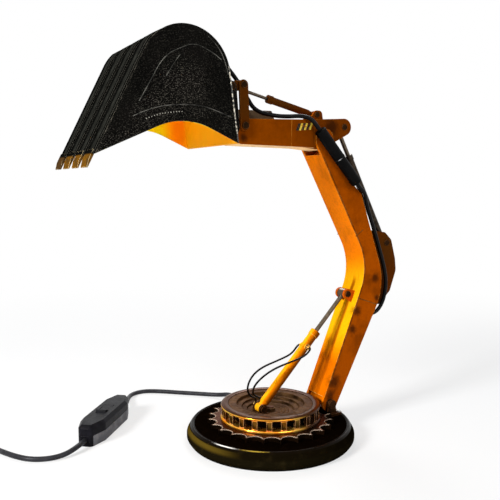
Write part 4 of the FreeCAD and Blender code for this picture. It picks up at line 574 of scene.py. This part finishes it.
def stripe_paint(name, colour, worn):
    """Thin printed stripes, scuffed here and there."""
    paint = Finish(name, 0.5, Specular_IOR_Level=0.2)
    paint.colour(paint.mix(paint.band(paint.noise(420, 5), 0.52, 0.66), colour, worn))
    paint.bump(paint.noise(700, 2), 0.00003, 0.4)
    return paint


worn_and_lit_edge = edge_wear_and_highlight()
dash_metal = stripe_paint("rubbed_dash_metal", tint(150, 146, 134), tint(70, 68, 62))
line_grey = drawn_line()
stripe_yellow = stripe_paint("stripe_yellow", tint(240, 206, 70), tint(180, 110, 20))
stripe_black = stripe_paint("stripe_black", tint(16, 12, 8), tint(120, 66, 10))


def sleeve_joint():
    """The ring between the halves of the cable's sleeve: dark, with one small white spot."""
    ring = Finish("sleeve_joint_ring", 0.5, Specular_IOR_Level=0.05)
    cloud = ring.mix(ring.band(ring.noise(300, 3), 0.35, 0.7), tint(12, 12, 13), tint(30, 30, 32))
    ring.colour(ring.mix(ring.spot((0.0632, -0.0264, 0.2837), 0.003), cloud, tint(214, 214, 218)))
    ring.bump(ring.noise(900, 2), 0.00004, 0.5)
    return ring


joint_finish = sleeve_joint()


# Pieces taken from the solids, with softened edges

def adopt(piece, body, *stands_for):
    """Let a piece move with a body, and say which solids it replaces."""
    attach(piece, body)
    if stands_for:
        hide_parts(*stands_for)
    return piece


def new_piece(name, mesh, *finishes):
    """A new object with a material slot for each finish."""
    for finish in finishes:
        mesh.materials.append(finish.material)
    return put(name, mesh)


def smooth(mesh, crease=None):
    """Smooth shading, but for edges sharper than the crease in degrees."""
    for face in mesh.polygons:
        face.use_smooth = True
    if crease:
        mesh.set_sharp_from_angle(angle=math.radians(crease))


def soften(piece, width, segments):
    """Round the sharp edges and keep the flats flat."""
    bevel = piece.modifiers.new("soft_edges", "BEVEL")
    bevel.width = width
    bevel.segments = segments
    bevel.limit_method = "ANGLE"
    bevel.angle_limit = math.radians(SOLID_CREASE)
    bevel.use_clamp_overlap = True
    bevel.harden_normals = True


def dress(node, finishes, width, choose=None, segments=2):
    """A merged copy of a solid in its place, with rounded edges of a width in metres.

    Choose is asked for the finish of each face, from the face's middle and its normal.
    """
    mesh = bpy.data.meshes.new(node + "_dressed")
    work = bmesh.new()
    work.from_mesh(nodes[node].data)
    bmesh.ops.remove_doubles(work, verts=work.verts, dist=2e-6)
    bmesh.ops.dissolve_limit(
        work, angle_limit=math.radians(0.2), verts=work.verts, edges=work.edges, delimit={"NORMAL"}
    )
    if choose:
        for face in work.faces:
            face.material_index = choose(face.calc_center_median(), face.normal)
    work.to_mesh(mesh)
    work.free()
    smooth(mesh, SOLID_CREASE)
    piece = adopt(new_piece(node + "_dressed", mesh, *finishes), body_of[node], node)
    if width:
        soften(piece, width, segments)


# Round lines and small turned pieces

def round_line(name, points, thickness=0.0):
    """A smooth round line whose control points are given in millimetres."""
    curve = bpy.data.curves.new(name, "CURVE")
    curve.dimensions = "3D"
    spline = curve.splines.new("NURBS")
    spline.points.add(len(points) - 1)
    for point, place in zip(spline.points, points):
        point.co = (*(c * MM for c in place), 1)
    spline.order_u = min(3, len(points))
    spline.use_endpoint_u = True
    spline.resolution_u = 8
    curve.bevel_depth = thickness * MM
    curve.bevel_resolution = 5
    curve.use_fill_caps = True
    return put(name, curve)


def as_mesh(line):
    """The plain mesh that a line and its modifiers make, in place of the line."""
    graph = bpy.context.evaluated_depsgraph_get()
    mesh = bpy.data.meshes.new_from_object(line.evaluated_get(graph), depsgraph=graph)
    bpy.data.objects.remove(line)
    return mesh


def round_mesh(name, points, thickness, finish):
    """A closed tube that follows a smooth round line."""
    mesh = as_mesh(round_line(name + "_line", points, thickness))
    mesh.materials.clear()
    smooth(mesh)
    return new_piece(name, mesh, finish)


# Recipes in geometry nodes for what follows a line

class Recipe:
    """A tree of geometry nodes with named sizes, used on a line that gives the way."""

    def __init__(self, name, **sizes):
        self.tree = bpy.data.node_groups.new(name, "GeometryNodeTree")
        self.tree.is_modifier = True
        self.labels = {}
        self.declare("Way", "NodeSocketGeometry")
        self.declare("Finish", "NodeSocketMaterial")
        for size, value in sizes.items():
            kind = "NodeSocketInt" if isinstance(value, int) else "NodeSocketFloat"
            self.declare(size.replace("_", " "), kind).default_value = value
        self.tree.interface.new_socket("Piece", in_out="OUTPUT", socket_type="NodeSocketGeometry")
        self.given = self.tree.nodes.new("NodeGroupInput").outputs

    def declare(self, label, kind):
        """A named input of the tree, found later by its identifier."""
        item = self.tree.interface.new_socket(label, in_out="INPUT", socket_type=kind)
        self.labels[label] = item.identifier
        return item

    def add(self, kind, inputs=(), **settings):
        return add_node(self.tree, kind, inputs, **settings)

    def end(self, geometry):
        """The last nodes: real geometry in the chosen finish."""
        real = self.add("GeometryNodeRealizeInstances", {"Geometry": geometry}).outputs["Geometry"]
        inputs = {"Geometry": real, "Material": self.given["Finish"]}
        dressed = self.add("GeometryNodeSetMaterial", inputs).outputs["Geometry"]
        self.add("NodeGroupOutput", {"Piece": dressed})

    def follow(self, name, body, finish, points, **sizes):
        """A piece made along a line through places in millimetres."""
        way = round_line(name + "_way", points)
        made = way.modifiers.new(name, "NODES")
        made.node_group = self.tree
        made[self.labels["Finish"]] = finish.material
        for size, value in sizes.items():
            made[self.labels[size.replace("_", " ")]] = value
        mesh = as_mesh(way)
        smooth(mesh, TRIM_CREASE)
        mesh.name = name
        return adopt(new_piece(name, mesh), body)


def raised_line_recipe():
    """A thin round line that stands half out of a plate."""
    recipe = Recipe("raised_line", Thickness=0.00035)
    inputs = {"Resolution": 10, "Radius": recipe.given["Thickness"]}
    ring = recipe.add("GeometryNodeCurvePrimitiveCircle", inputs)
    inputs = {"Curve": recipe.given["Way"], "Profile Curve": ring.outputs["Curve"], "Fill Caps": True}
    recipe.end(recipe.add("GeometryNodeCurveToMesh", inputs).outputs["Mesh"])
    return recipe


def weld_bead_recipe():
    """A weld: flat ripples laid over each other at an even pitch."""
    recipe = Recipe("weld_bead", Ripple_Pitch=0.0008, Ripple_Radius=0.0006, Rise=0.45)
    inputs = {"Curve": recipe.given["Way"], "Length": recipe.given["Ripple Pitch"]}
    places = recipe.add("GeometryNodeCurveToPoints", inputs, mode="LENGTH").outputs["Points"]
    inputs = {"Segments": 8, "Rings": 4, "Radius": recipe.given["Ripple Radius"]}
    ball = recipe.add("GeometryNodeMeshUVSphere", inputs).outputs["Mesh"]
    inputs = {"X": 1.0, "Y": recipe.given["Rise"], "Z": 1.0}
    flat = recipe.add("ShaderNodeCombineXYZ", inputs).outputs["Vector"]
    ripple = recipe.add("GeometryNodeTransform", {"Geometry": ball, "Scale": flat}).outputs["Geometry"]
    uneven = recipe.add("FunctionNodeRandomValue", {2: 0.84, 3: 1.14, "Seed": 7}).outputs[1]
    inputs = {"Points": places, "Instance": ripple, "Scale": uneven}
    recipe.end(recipe.add("GeometryNodeInstanceOnPoints", inputs).outputs["Instances"])
    return recipe


def stripe_bars_recipe():
    """A row of thin leaning bars, evenly spaced from the start of the way to its end."""
    sizes = {"Bar_Width": 0.003, "Bar_Height": 0.0068, "Bar_Depth": 0.00017}
    recipe = Recipe("stripe_bars", Bars=3, **sizes, Lean=0.4)
    given = recipe.given
    inputs = {"Curve": given["Way"], "Count": given["Bars"]}
    places = recipe.add("GeometryNodeCurveToPoints", inputs, mode="COUNT").outputs["Points"]
    inputs = {"X": given["Bar Width"], "Y": given["Bar Depth"], "Z": given["Bar Height"]}
    size = recipe.add("ShaderNodeCombineXYZ", inputs).outputs["Vector"]
    bar = recipe.add("GeometryNodeMeshCube", {"Size": size}).outputs["Mesh"]
    place = recipe.add("GeometryNodeInputPosition").outputs["Position"]
    above = recipe.add("ShaderNodeSeparateXYZ", {"Vector": place}).outputs["Z"]
    shift = recipe.add("ShaderNodeMath", {0: above, 1: given["Lean"]}, operation="MULTIPLY")
    offset = recipe.add("ShaderNodeCombineXYZ", {"X": shift.outputs["Value"]}).outputs["Vector"]
    leaning = recipe.add("GeometryNodeSetPosition", {"Geometry": bar, "Offset": offset})
    inputs = {"Points": places, "Instance": leaning.outputs["Geometry"]}
    recipe.end(recipe.add("GeometryNodeInstanceOnPoints", inputs).outputs["Instances"])
    return recipe


raised_line = raised_line_recipe()
weld_bead = weld_bead_recipe()
stripe_bars = stripe_bars_recipe()


def on_both_sides(recipe, name, body, finish, y, places, **sizes):
    """The same line on the near and the far side, through places given as (x, z) in millimetres."""
    for label, side in (("near", -y), ("far", y)):
        recipe.follow(name + "_" + label, body, finish, [(x, side, z) for x, z in places], **sizes)


def turned(name, body, finish, middle, axis, profile, steps=48):
    """A ring turned about an axis, from a closed profile of (radius, height) in millimetres."""
    turn = Vector((0, 0, 1)).rotation_difference(Vector(axis)).to_matrix()
    count, corners = len(profile), []
    for step in range(steps):
        angle = 2 * math.pi * step / steps
        for radius, height in profile:
            corner = turn @ Vector((radius * math.cos(angle), radius * math.sin(angle), height))
            corners.append((Vector(middle) + corner) * MM)
    faces = []
    for step in range(steps):
        here, there = step * count, (step + 1) % steps * count
        for k in range(count):
            after = (k + 1) % count
            faces.append((here + k, there + k, there + after, here + after))
    mesh = bpy.data.meshes.new(name)
    mesh.from_pydata(corners, [], faces)
    mesh.validate()
    work = bmesh.new()
    work.from_mesh(mesh)
    bmesh.ops.recalc_face_normals(work, faces=work.faces)
    work.to_mesh(mesh)
    work.free()
    smooth(mesh, TRIM_CREASE)
    return adopt(new_piece(name, mesh, finish), body)


# Bucket: black outside, gold inside

def lined(centre, normal):
    """1 for a face of the bucket's inside."""
    spot = Vector((centre.x, 0, centre.z))
    from_crown = spot - CROWN
    lip_depth = (spot - LIP).dot(LIP_OUT)
    heel_depth = (spot - HEEL).dot(HEEL_OUT)
    beyond_lip = from_crown.dot(LIP_DOWN) > 0 and from_crown.x < 0
    beyond_heel = from_crown.dot(HEEL_DOWN) > 0 and from_crown.x > 0
    within = from_crown.length < BACK_RADIUS - WALL / 2 or beyond_lip or beyond_heel
    between_sides = abs(centre.y) < HALF_WIDTH - WALL / 2
    return int(within and between_sides and lip_depth < -WALL / 2 and heel_depth < -WALL / 2)


dress("bucket_shell", [bucket_black, bucket_gold], 0.0005, lined, 3)
dress("bucket_ribs", [rib_metal], 0.0006, segments=3)
dress("tooth_tips", [tooth_finish], 0.0005)
dress("bucket_ears", [bucket_black], 0.0005)
dress("lamp_holder", [rubber], 0.0003)
dress("holder_nut", [zinc], 0.0003)
dress("bulb_glass", [lit_glass], 0)
dress("bulb_cap", [brass], 0.0002)
dress("bucket_link_pin", [bracket_bronze], 0.0003)

on_both_sides(
    raised_line, "contour_line", "bucket", line_grey, BUCKET_SIDE,
    [(-154.8, 322.9), (-144.5, 339.9), (-136.6, 354.6), (-127.9, 363.2), (-117.3, 368.2), (-110, 371.3),
     (-103.8, 371.7), (-98.9, 370.3), (-93.9, 368.3), (-88.8, 366), (-84.7, 363.6), (-81.8, 361.5)],
)
on_both_sides(
    raised_line, "inner_line", "bucket", line_grey, BUCKET_SIDE,
    [(-119.2, 362), (-123.5, 356.8), (-127.8, 349.9), (-131.4, 344.2)], Thickness=0.00028,
)
on_both_sides(
    raised_line, "arch_line", "bucket", line_grey, BUCKET_SIDE,
    [(-160, 311), (-145.7, 318), (-124.1, 322.4), (-101.7, 322.9), (-87.8, 319.6), (-72.6, 314.5)],
)
on_both_sides(
    raised_line, "crown_line", "bucket", line_grey, BUCKET_SIDE,
    [(-93.8, 379.2), (-85.4, 373.6), (-78, 361), (-74.8, 349.5)], Thickness=0.00026,
)
on_both_sides(
    weld_bead, "arch_dashes", "bucket", dash_metal, DASH_SIDE,
    [(-148.8, 309.7), (-139.9, 313.2), (-129.5, 315.5), (-117.9, 316.8)],
    Ripple_Pitch=0.0023, Ripple_Radius=0.00048,
)
# The rear edge's pale patches are partly wear and partly a painted highlight
on_both_sides(
    raised_line, "rear_edge", "bucket", worn_and_lit_edge, BUCKET_SIDE,
    [(-74.5, 357), (-73.5, 351), (-65.6, 294)], Thickness=0.00065,
)


# Arm

def guarded(centre, normal):
    """1 for the guard that stands up beside the cable, on the stick's far side."""
    stick_top, far_wall, guard_end = 0.3178, 0.0135, 0.016
    return int(centre.z > stick_top and centre.y > far_wall and centre.x < guard_end)


dress("boom_box", [boom_paint], 0.0006, segments=3)
dress("boom_lugs", [lug_paint], 0.0004)
dress("stick_cylinder_bracket", [brown_paint], 0.0004)
dress("boom_pins", [bracket_bronze], 0.0003)
dress("stick_box", [stick_paint, guard_paint], 0.0006, guarded, 3)
dress("stick_pins", [bracket_bronze], 0.0003)
dress("bucket_cylinder_lug", [stick_paint], 0.0004)
dress("rocker", [brown_paint], 0.0005)
dress("rocker_pin", [bracket_bronze], 0.0003)
dress("link_plates", [brown_paint], 0.0005)
dress("sleeve_upper", [rubber], 0.0003)
dress("sleeve_lower", [rubber], 0.0003)
dress("cable_grommet", [rubber], 0.0003)

# The ring where the halves of the cable's sleeve meet
sleeve_start, sleeve_end = Vector((43, -21.6, 310)), Vector((89.3, -21.6, 259))
sleeve_way = (sleeve_end - sleeve_start).normalized()
upper_half = 35.5
turned(
    "sleeve_joint_ring", "boom", joint_finish, sleeve_start + sleeve_way * upper_half, sleeve_way,
    [(5.6, -0.5), (6.0, -0.5), (6.1, 0), (6.0, 0.5), (5.6, 0.5)],
)

# Welded seams on both sides of the boom and the stick
on_both_sides(
    weld_bead, "front_seam", "boom", brown_paint, ARM_SIDE,
    [(62.8, 47.8), (81.2, 92.2), (103.5, 145.9), (107.1, 158.4), (107.9, 171.4), (105.7, 184.4),
     (100.8, 196.4), (52.6, 284.3)],
)
on_both_sides(weld_bead, "upper_seam", "boom", brown_paint, ARM_SIDE, [(94.7, 203.7), (103.9, 209.7)])
on_both_sides(weld_bead, "lower_seam", "boom", brown_paint, ARM_SIDE, [(98.7, 137.8), (123.6, 129.1)])
on_both_sides(weld_bead, "stick_seam", "stick", stick_paint, ARM_SIDE, [(13.7, 294.5), (13.7, 318.8)])

# Slanting black and yellow stripes on the near side of the stick
stripe_start, stripe_step = Vector((21.6, -15.535, 312.9)), Vector((5.8, 0, 0.55))
for name, finish, bar_width, offset in (
    ("black_stripes", stripe_black, 0.0033, 0.0), ("yellow_stripes", stripe_yellow, 0.0025, 0.5)
):
    first = stripe_start + stripe_step * offset
    last = first + stripe_step * 2
    stripe_bars.follow(name, "stick", finish, [first, last], Bar_Width=bar_width)

# Rams

dress("boom_barrel", [ram_paint], 0.0004)
dress("boom_rod", [rod_steel], 0.0003)
dress("hose_fittings", [brass], 0.0002)
dress("stick_barrel", [dark_ram], 0.0004)
dress("stick_rod", [rod_steel], 0.0003)
dress("bucket_barrel", [brown_paint], 0.0004)
dress("bucket_rod", [rod_steel], 0.0003)


# Base

def on_bead(centre, normal):
    """1 for the raised bead round the top of the base."""
    bead_foot, bead_inside = 0.0156, 0.0774
    return int(centre.z > bead_foot and centre.xy.length > bead_inside)


dress("base_plate", [base_enamel, bead_enamel], 0, on_bead)
dress("base_pad", [rubber], 0.0002)
dress("base_cover", [zinc], 0.0002)
dress("cover_screws", [zinc], 0.0002)
dress("ballast_disc", [iron], 0.0005)
dress("hub_core", [core_black], 0.0004)
dress("sprocket_ring", [sprocket_bronze], 0.0006, segments=3)
dress("hub_cage", [cage_bronze], 0.0005, segments=3)
dress("dish_plate", [dish_bronze], 0.0002)
dress("centre_stud", [bracket_bronze], 0.0002)
dress("centre_nut", [dish_bronze], 0.0004)
dress("cylinder_foot_bracket", [bracket_bronze], 0.0004)
dress("base_pins", [bracket_bronze], 0.0003)
dress("hose_ports", [brass], 0.0003)
dress("boom_bracket", [bracket_bronze], 0.0005)
dress("bracket_screws", [zinc], 0.0002)
dress("strain_relief", [rubber], 0.0003)


# Switch and plug

def flank(centre, normal):
    """1 for the lower long sides of the switch, and 2 for its ends and for the band under its top."""
    top_band = 0.0105
    if abs(normal.z) > 0.8:
        return 0
    return 1 if centre.z < top_band and abs(normal.dot(SWITCH_WAY)) < 0.5 else 2


# Painted light and shade: the lower long sides lighter as lit, the ends and the band under the top dark
dress("switch_base", [switch_plastic, switch_flank, switch_shade], 0.0008, flank, 3)
dress("switch_cover", [switch_plastic, switch_flank, switch_shade], 0.0005, flank, 3)
dress("switch_rocker", [switch_plastic], 0.0004)
dress("plug_body", [switch_plastic], 0.0015, segments=3)
dress("plug_pins", [brass], 0.0003)


# Cables, hoses and the mains lead


def centre_path(name, points):
    """The places that the smooth line runs through."""
    return [vertex.co.copy() for vertex in as_mesh(round_line(name + "_centre", points)).vertices]


def add_cord(name, points, thickness, finish, body, stands_for, **facts):
    """A free cord that stays a curve."""
    line = round_line(name, points, thickness)
    line.data.materials.append(finish.material)
    adopt(line, body, *stands_for)
    path = centre_path(name, points)


def add_bending_cord(name, points, thickness, finish, near, far, start, end, stands_for, **facts):
    """A cord that crosses a joint, as a fixed tube in its place."""
    path = centre_path(name, points)
    piece = round_mesh(name, points, thickness, finish)
    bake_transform(piece)
    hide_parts(*stands_for)


def between(first, second, share):
    """The place that is a share of the way from the first to the second."""
    return tuple(a + (b - a) * share for a, b in zip(first, second))


# The bucket's cable leaves the round back of the bucket at 30 degrees, through a short nipple
gland_out = Vector((math.cos(math.radians(30)), 0, math.sin(math.radians(30))))
gland = Vector((-113, 0, 347.5)) + gland_out * 40
nipple = gland + gland_out * 5.8

# Places that the cables share where they cross from body to body
over_link, on_stick = (-18, 1, 327.5), (-1, -9, 322.8)
off_stick, over_edge = (14, -10.5, 323), (25, -15, 324)
elbow_joint = between(off_stick, over_edge, 0.4)

# The grommet in the boom's back, and the way that the cable comes out of it
entry, entry_way = Vector((118.5, -9, 118)), Vector((0.995, 0, -0.1)).normalized()

add_bending_cord(
    "bucket_cable_bent",
    [nipple, nipple + gland_out * 7, (-56.5, 3, 374.6), (-44.5, 7, 367.3), (-31.8, 8.8, 355),
     (-23.5, 8.6, 342.5), over_link, on_stick, off_stick, elbow_joint],
    CABLE, cable_skin, "stick", "bucket", over_link, (-64, 0, 374), ["bucket_cable", "stick_cable"],
    far_end="object", stiffness="limp",
)
add_bending_cord(
    "elbow_cable_bent",
    [elbow_joint, over_edge, (33, -20, 321.3), sleeve_start - sleeve_way * 7.5, sleeve_start],
    CABLE, cable_skin, "boom", "stick", sleeve_start, elbow_joint, ["elbow_cable"],
    far_end="object", stiffness="limp",
)
add_cord(
    "boom_cable_run",
    [sleeve_end, sleeve_end + sleeve_way * 7.5, (103, -19.2, 248.5), (110, -12.6, 237),
     (120.6, -12.2, 212), (132.2, -12.4, 181), (139.3, -12.4, 159), (139.8, -11.6, 141),
     (136.4, -10.2, 127), entry + entry_way * 9, entry - entry_way * 10, (97, -8.5, 100), (84, -8, 72),
     (74, -8, 49)],
    CABLE, cable_skin, "boom", ["boom_cable"], far_end="object", stiffness="limp",
)

# The hoses start this far up the barrel from the pin of its foot
up_barrel = 78
hose_x, hose_z = -12 + up_barrel * 0.69023, 33 + up_barrel * 0.72358
add_bending_cord(
    "hose_front_bent",
    [(hose_x, -8.4, hose_z), (hose_x, -11.8, hose_z), (34, -11.5, 82.5), (20.5, -9.5, 78.6),
     (1, -7.5, 73.8), (-13.5, -5.5, 66), (-20.5, -1, 56), (-17.5, 6, 46), (-7.5, 12, 39.5),
     (-2.5, 13.6, 36.5), (-2.5, 13.6, 32.5)],
    HOSE, cable_skin, "base", "boom_cylinder", (-10, 10, 36), (34, -10, 84), ["hose_front"],
    far_end="object", stiffness="limp",
)
add_bending_cord(
    "hose_rear_bent",
    [(hose_x, 8.4, hose_z), (hose_x, 11.8, hose_z), (33.5, 11.5, 80), (17.5, 9.5, 76.4),
     (-3.5, 9, 71.8), (-14.5, 9, 65.8), (-20.3, 9.5, 57.5), (-21, 11, 48.5), (-14.5, 15, 40.5),
     (-6.5, 18.4, 36.5), (-6.5, 18.4, 32.5)],
    HOSE, cable_skin, "base", "boom_cylinder", (-10, 12, 36), (34, 10, 82), ["hose_rear"],
    far_end="object", stiffness="limp",
)

# The mains lead, through the switch and into the wound-up rest beside the plug
switch_middle = Vector((-139.7, 106.5, 6.5))
switch_near = switch_middle + SWITCH_WAY * HALF_SWITCH
switch_far = switch_middle - SWITCH_WAY * HALF_SWITCH
into_switch = 8
add_cord(
    "mains_lead_rear",
    [(18, 108, 8), (18, 120, 8), (10, 137, 3.4), (-7, 155, 2.6), (-26, 171, 2.6), (-45, 188, 2.6),
     (-63, 199, 2.6), (-80, 194, 2.6), (-91.5, 175, 3.6), switch_near + SWITCH_WAY * 13,
     switch_near - SWITCH_WAY * into_switch],
    LEAD, lead_skin, "base", ["cord_rear"], far_end="object", stiffness="medium",
    with_pieces=["switch_base_dressed", "switch_cover_dressed", "switch_rocker_dressed"],
)

# The wound-up rest, in millimetres; the control points stand out, as the line cuts their corners
COIL = Vector((-300, 150, 0))
COIL_TURNS, COIL_RADIUS, COIL_PITCH = 7.5, 37.5, 5.6
COIL_STEPS, CUT_CORNERS = 12, 0.966
LOW, HIGH = 2.6, 8.0


def coil_place(turn):
    """A control point of the wound-up rest: in on the floor, up where it turns back, and out on top."""
    middle, climb = COIL_TURNS / 2, 0.25
    off = turn - middle
    if abs(off) < climb:
        inward = middle - (climb / 2 + off * off / (2 * climb))
        share = (off + climb) / (2 * climb)
        rise = share * share * (3 - 2 * share)
    else:
        inward = middle - abs(off)
        rise = 1 if off > 0 else 0
    reach = (COIL_RADIUS - COIL_PITCH * inward) / CUT_CORNERS
    angle = 2 * math.pi * turn
    height = LOW + rise * (HIGH - LOW)
    return COIL + Vector((reach * math.cos(angle), reach * math.sin(angle), height))


winding = [coil_place(step / COIL_STEPS) for step in range(1, int(COIL_TURNS * COIL_STEPS))]
add_cord(
    "mains_lead_front",
    [switch_far, switch_far - SWITCH_WAY * 12, (-195, 51, 3.6), (-210, 51, 2.6), (-226, 58, 2.6),
     (-238, 74, 2.6), (-249, 97, 2.6), (-259.5, 119, 2.6), (-262.3, 136, 2.6)] + winding
    + [(-337.8, 140, 8), (-337.5, 128, 8), (-337.5, 116, 8)],
    LEAD, lead_skin, "base", ["cord_front", "cord_coil"], far_end="plug", stiffness="medium",
    with_pieces=["plug_body_dressed", "plug_pins_dressed"],
)

# Floor, light and camera

floor_mesh = bpy.data.meshes.new("floor")
floor_mesh.from_pydata([(-6, -6, 0), (6, -6, 0), (6, 6, 0), (-6, 6, 0)], [], [(0, 1, 2, 3)])
paper = Finish("pale_paper", 0.9, Specular_IOR_Level=0.05)
paper.colour(paper.mix(paper.noise(3, 2), (0.86, 0.86, 0.86, 1), (0.9, 0.9, 0.9, 1)))
white = paper.add("ShaderNodeEmission", {"Color": (1, 1, 1, 1), "Strength": 1.0}).outputs["Emission"]
ray = paper.add("ShaderNodeLightPath").outputs
share = paper.band(paper.vectors("LENGTH", paper.place), 0.35, 1.1, 0.62, 1.0)
looked_at = paper.math("ADD", ray["Is Camera Ray"], ray["Is Glossy Ray"], clamp=True)
looked_at = paper.math("ADD", looked_at, ray["Is Transmission Ray"], clamp=True)
inputs = {0: paper.times(looked_at, share), 1: paper.shader.outputs["BSDF"], 2: white}
shown = paper.add("ShaderNodeMixShader", inputs).outputs["Shader"]
paper.tree.links.new(shown, paper.tree.nodes["Material Output"].inputs["Surface"])
new_piece("floor", floor_mesh, paper)

world = bpy.data.worlds.new("studio")
bpy.context.scene.world = world
world.use_nodes = True
sky = world.node_tree
sky.nodes.clear()
ray = add_node(sky, "ShaderNodeLightPath").outputs
room = add_node(sky, "ShaderNodeBackground", {"Color": (0.9, 0.93, 1.0, 1), "Strength": 0.16})
paper_white = add_node(sky, "ShaderNodeBackground", {"Color": (1, 1, 1, 1)})
seen = ray["Is Camera Ray"]
for kind in ("Is Glossy Ray", "Is Transmission Ray"):
    either = add_node(sky, "ShaderNodeMath", {0: seen, 1: ray[kind]}, operation="MAXIMUM")
    seen = either.outputs["Value"]
inputs = {0: seen, 1: room.outputs["Background"], 2: paper_white.outputs["Background"]}
blended = add_node(sky, "ShaderNodeMixShader", inputs).outputs["Shader"]
add_node(sky, "ShaderNodeOutputWorld", {"Surface": blended})


def facing(way):
    """The rotation of a light or camera that looks along a way."""
    return Vector(way).to_track_quat("-Z", "Y").to_euler()


def softbox(name, place, target, size, power):
    """A rectangular light of a size in metres and a power in watts."""
    lamp = bpy.data.lights.new(name, "AREA")
    lamp.shape = "RECTANGLE"
    lamp.size, lamp.size_y = size
    lamp.energy = power
    holder = put(name, lamp)
    holder.location = place
    holder.rotation_euler = facing(Vector(target) - Vector(place))


softbox("key_light", (-1.45, -0.3, 0.85), (0.02, 0, 0.2), (0.4, 0.4), 34)
softbox("fill_light", (0.1, -1.7, 1.0), (0, 0, 0.2), (0.9, 0.9), 12)
softbox("back_light", (0.7, 1.2, 1.3), (0, 0, 0.2), (0.8, 0.8), 16)

# The camera as solved from the photo
optics = bpy.data.cameras.new("photo_camera")
optics.lens = 47.17
optics.sensor_width = 36
camera = put("photo_camera", optics)
camera.location = (-0.33982, -0.55302, 0.25742)
camera.rotation_euler = facing((0.49354, 0.86399, -0.09973))
bpy.context.scene.camera = camera
bpy.context.scene.view_settings.view_transform = "Standard"
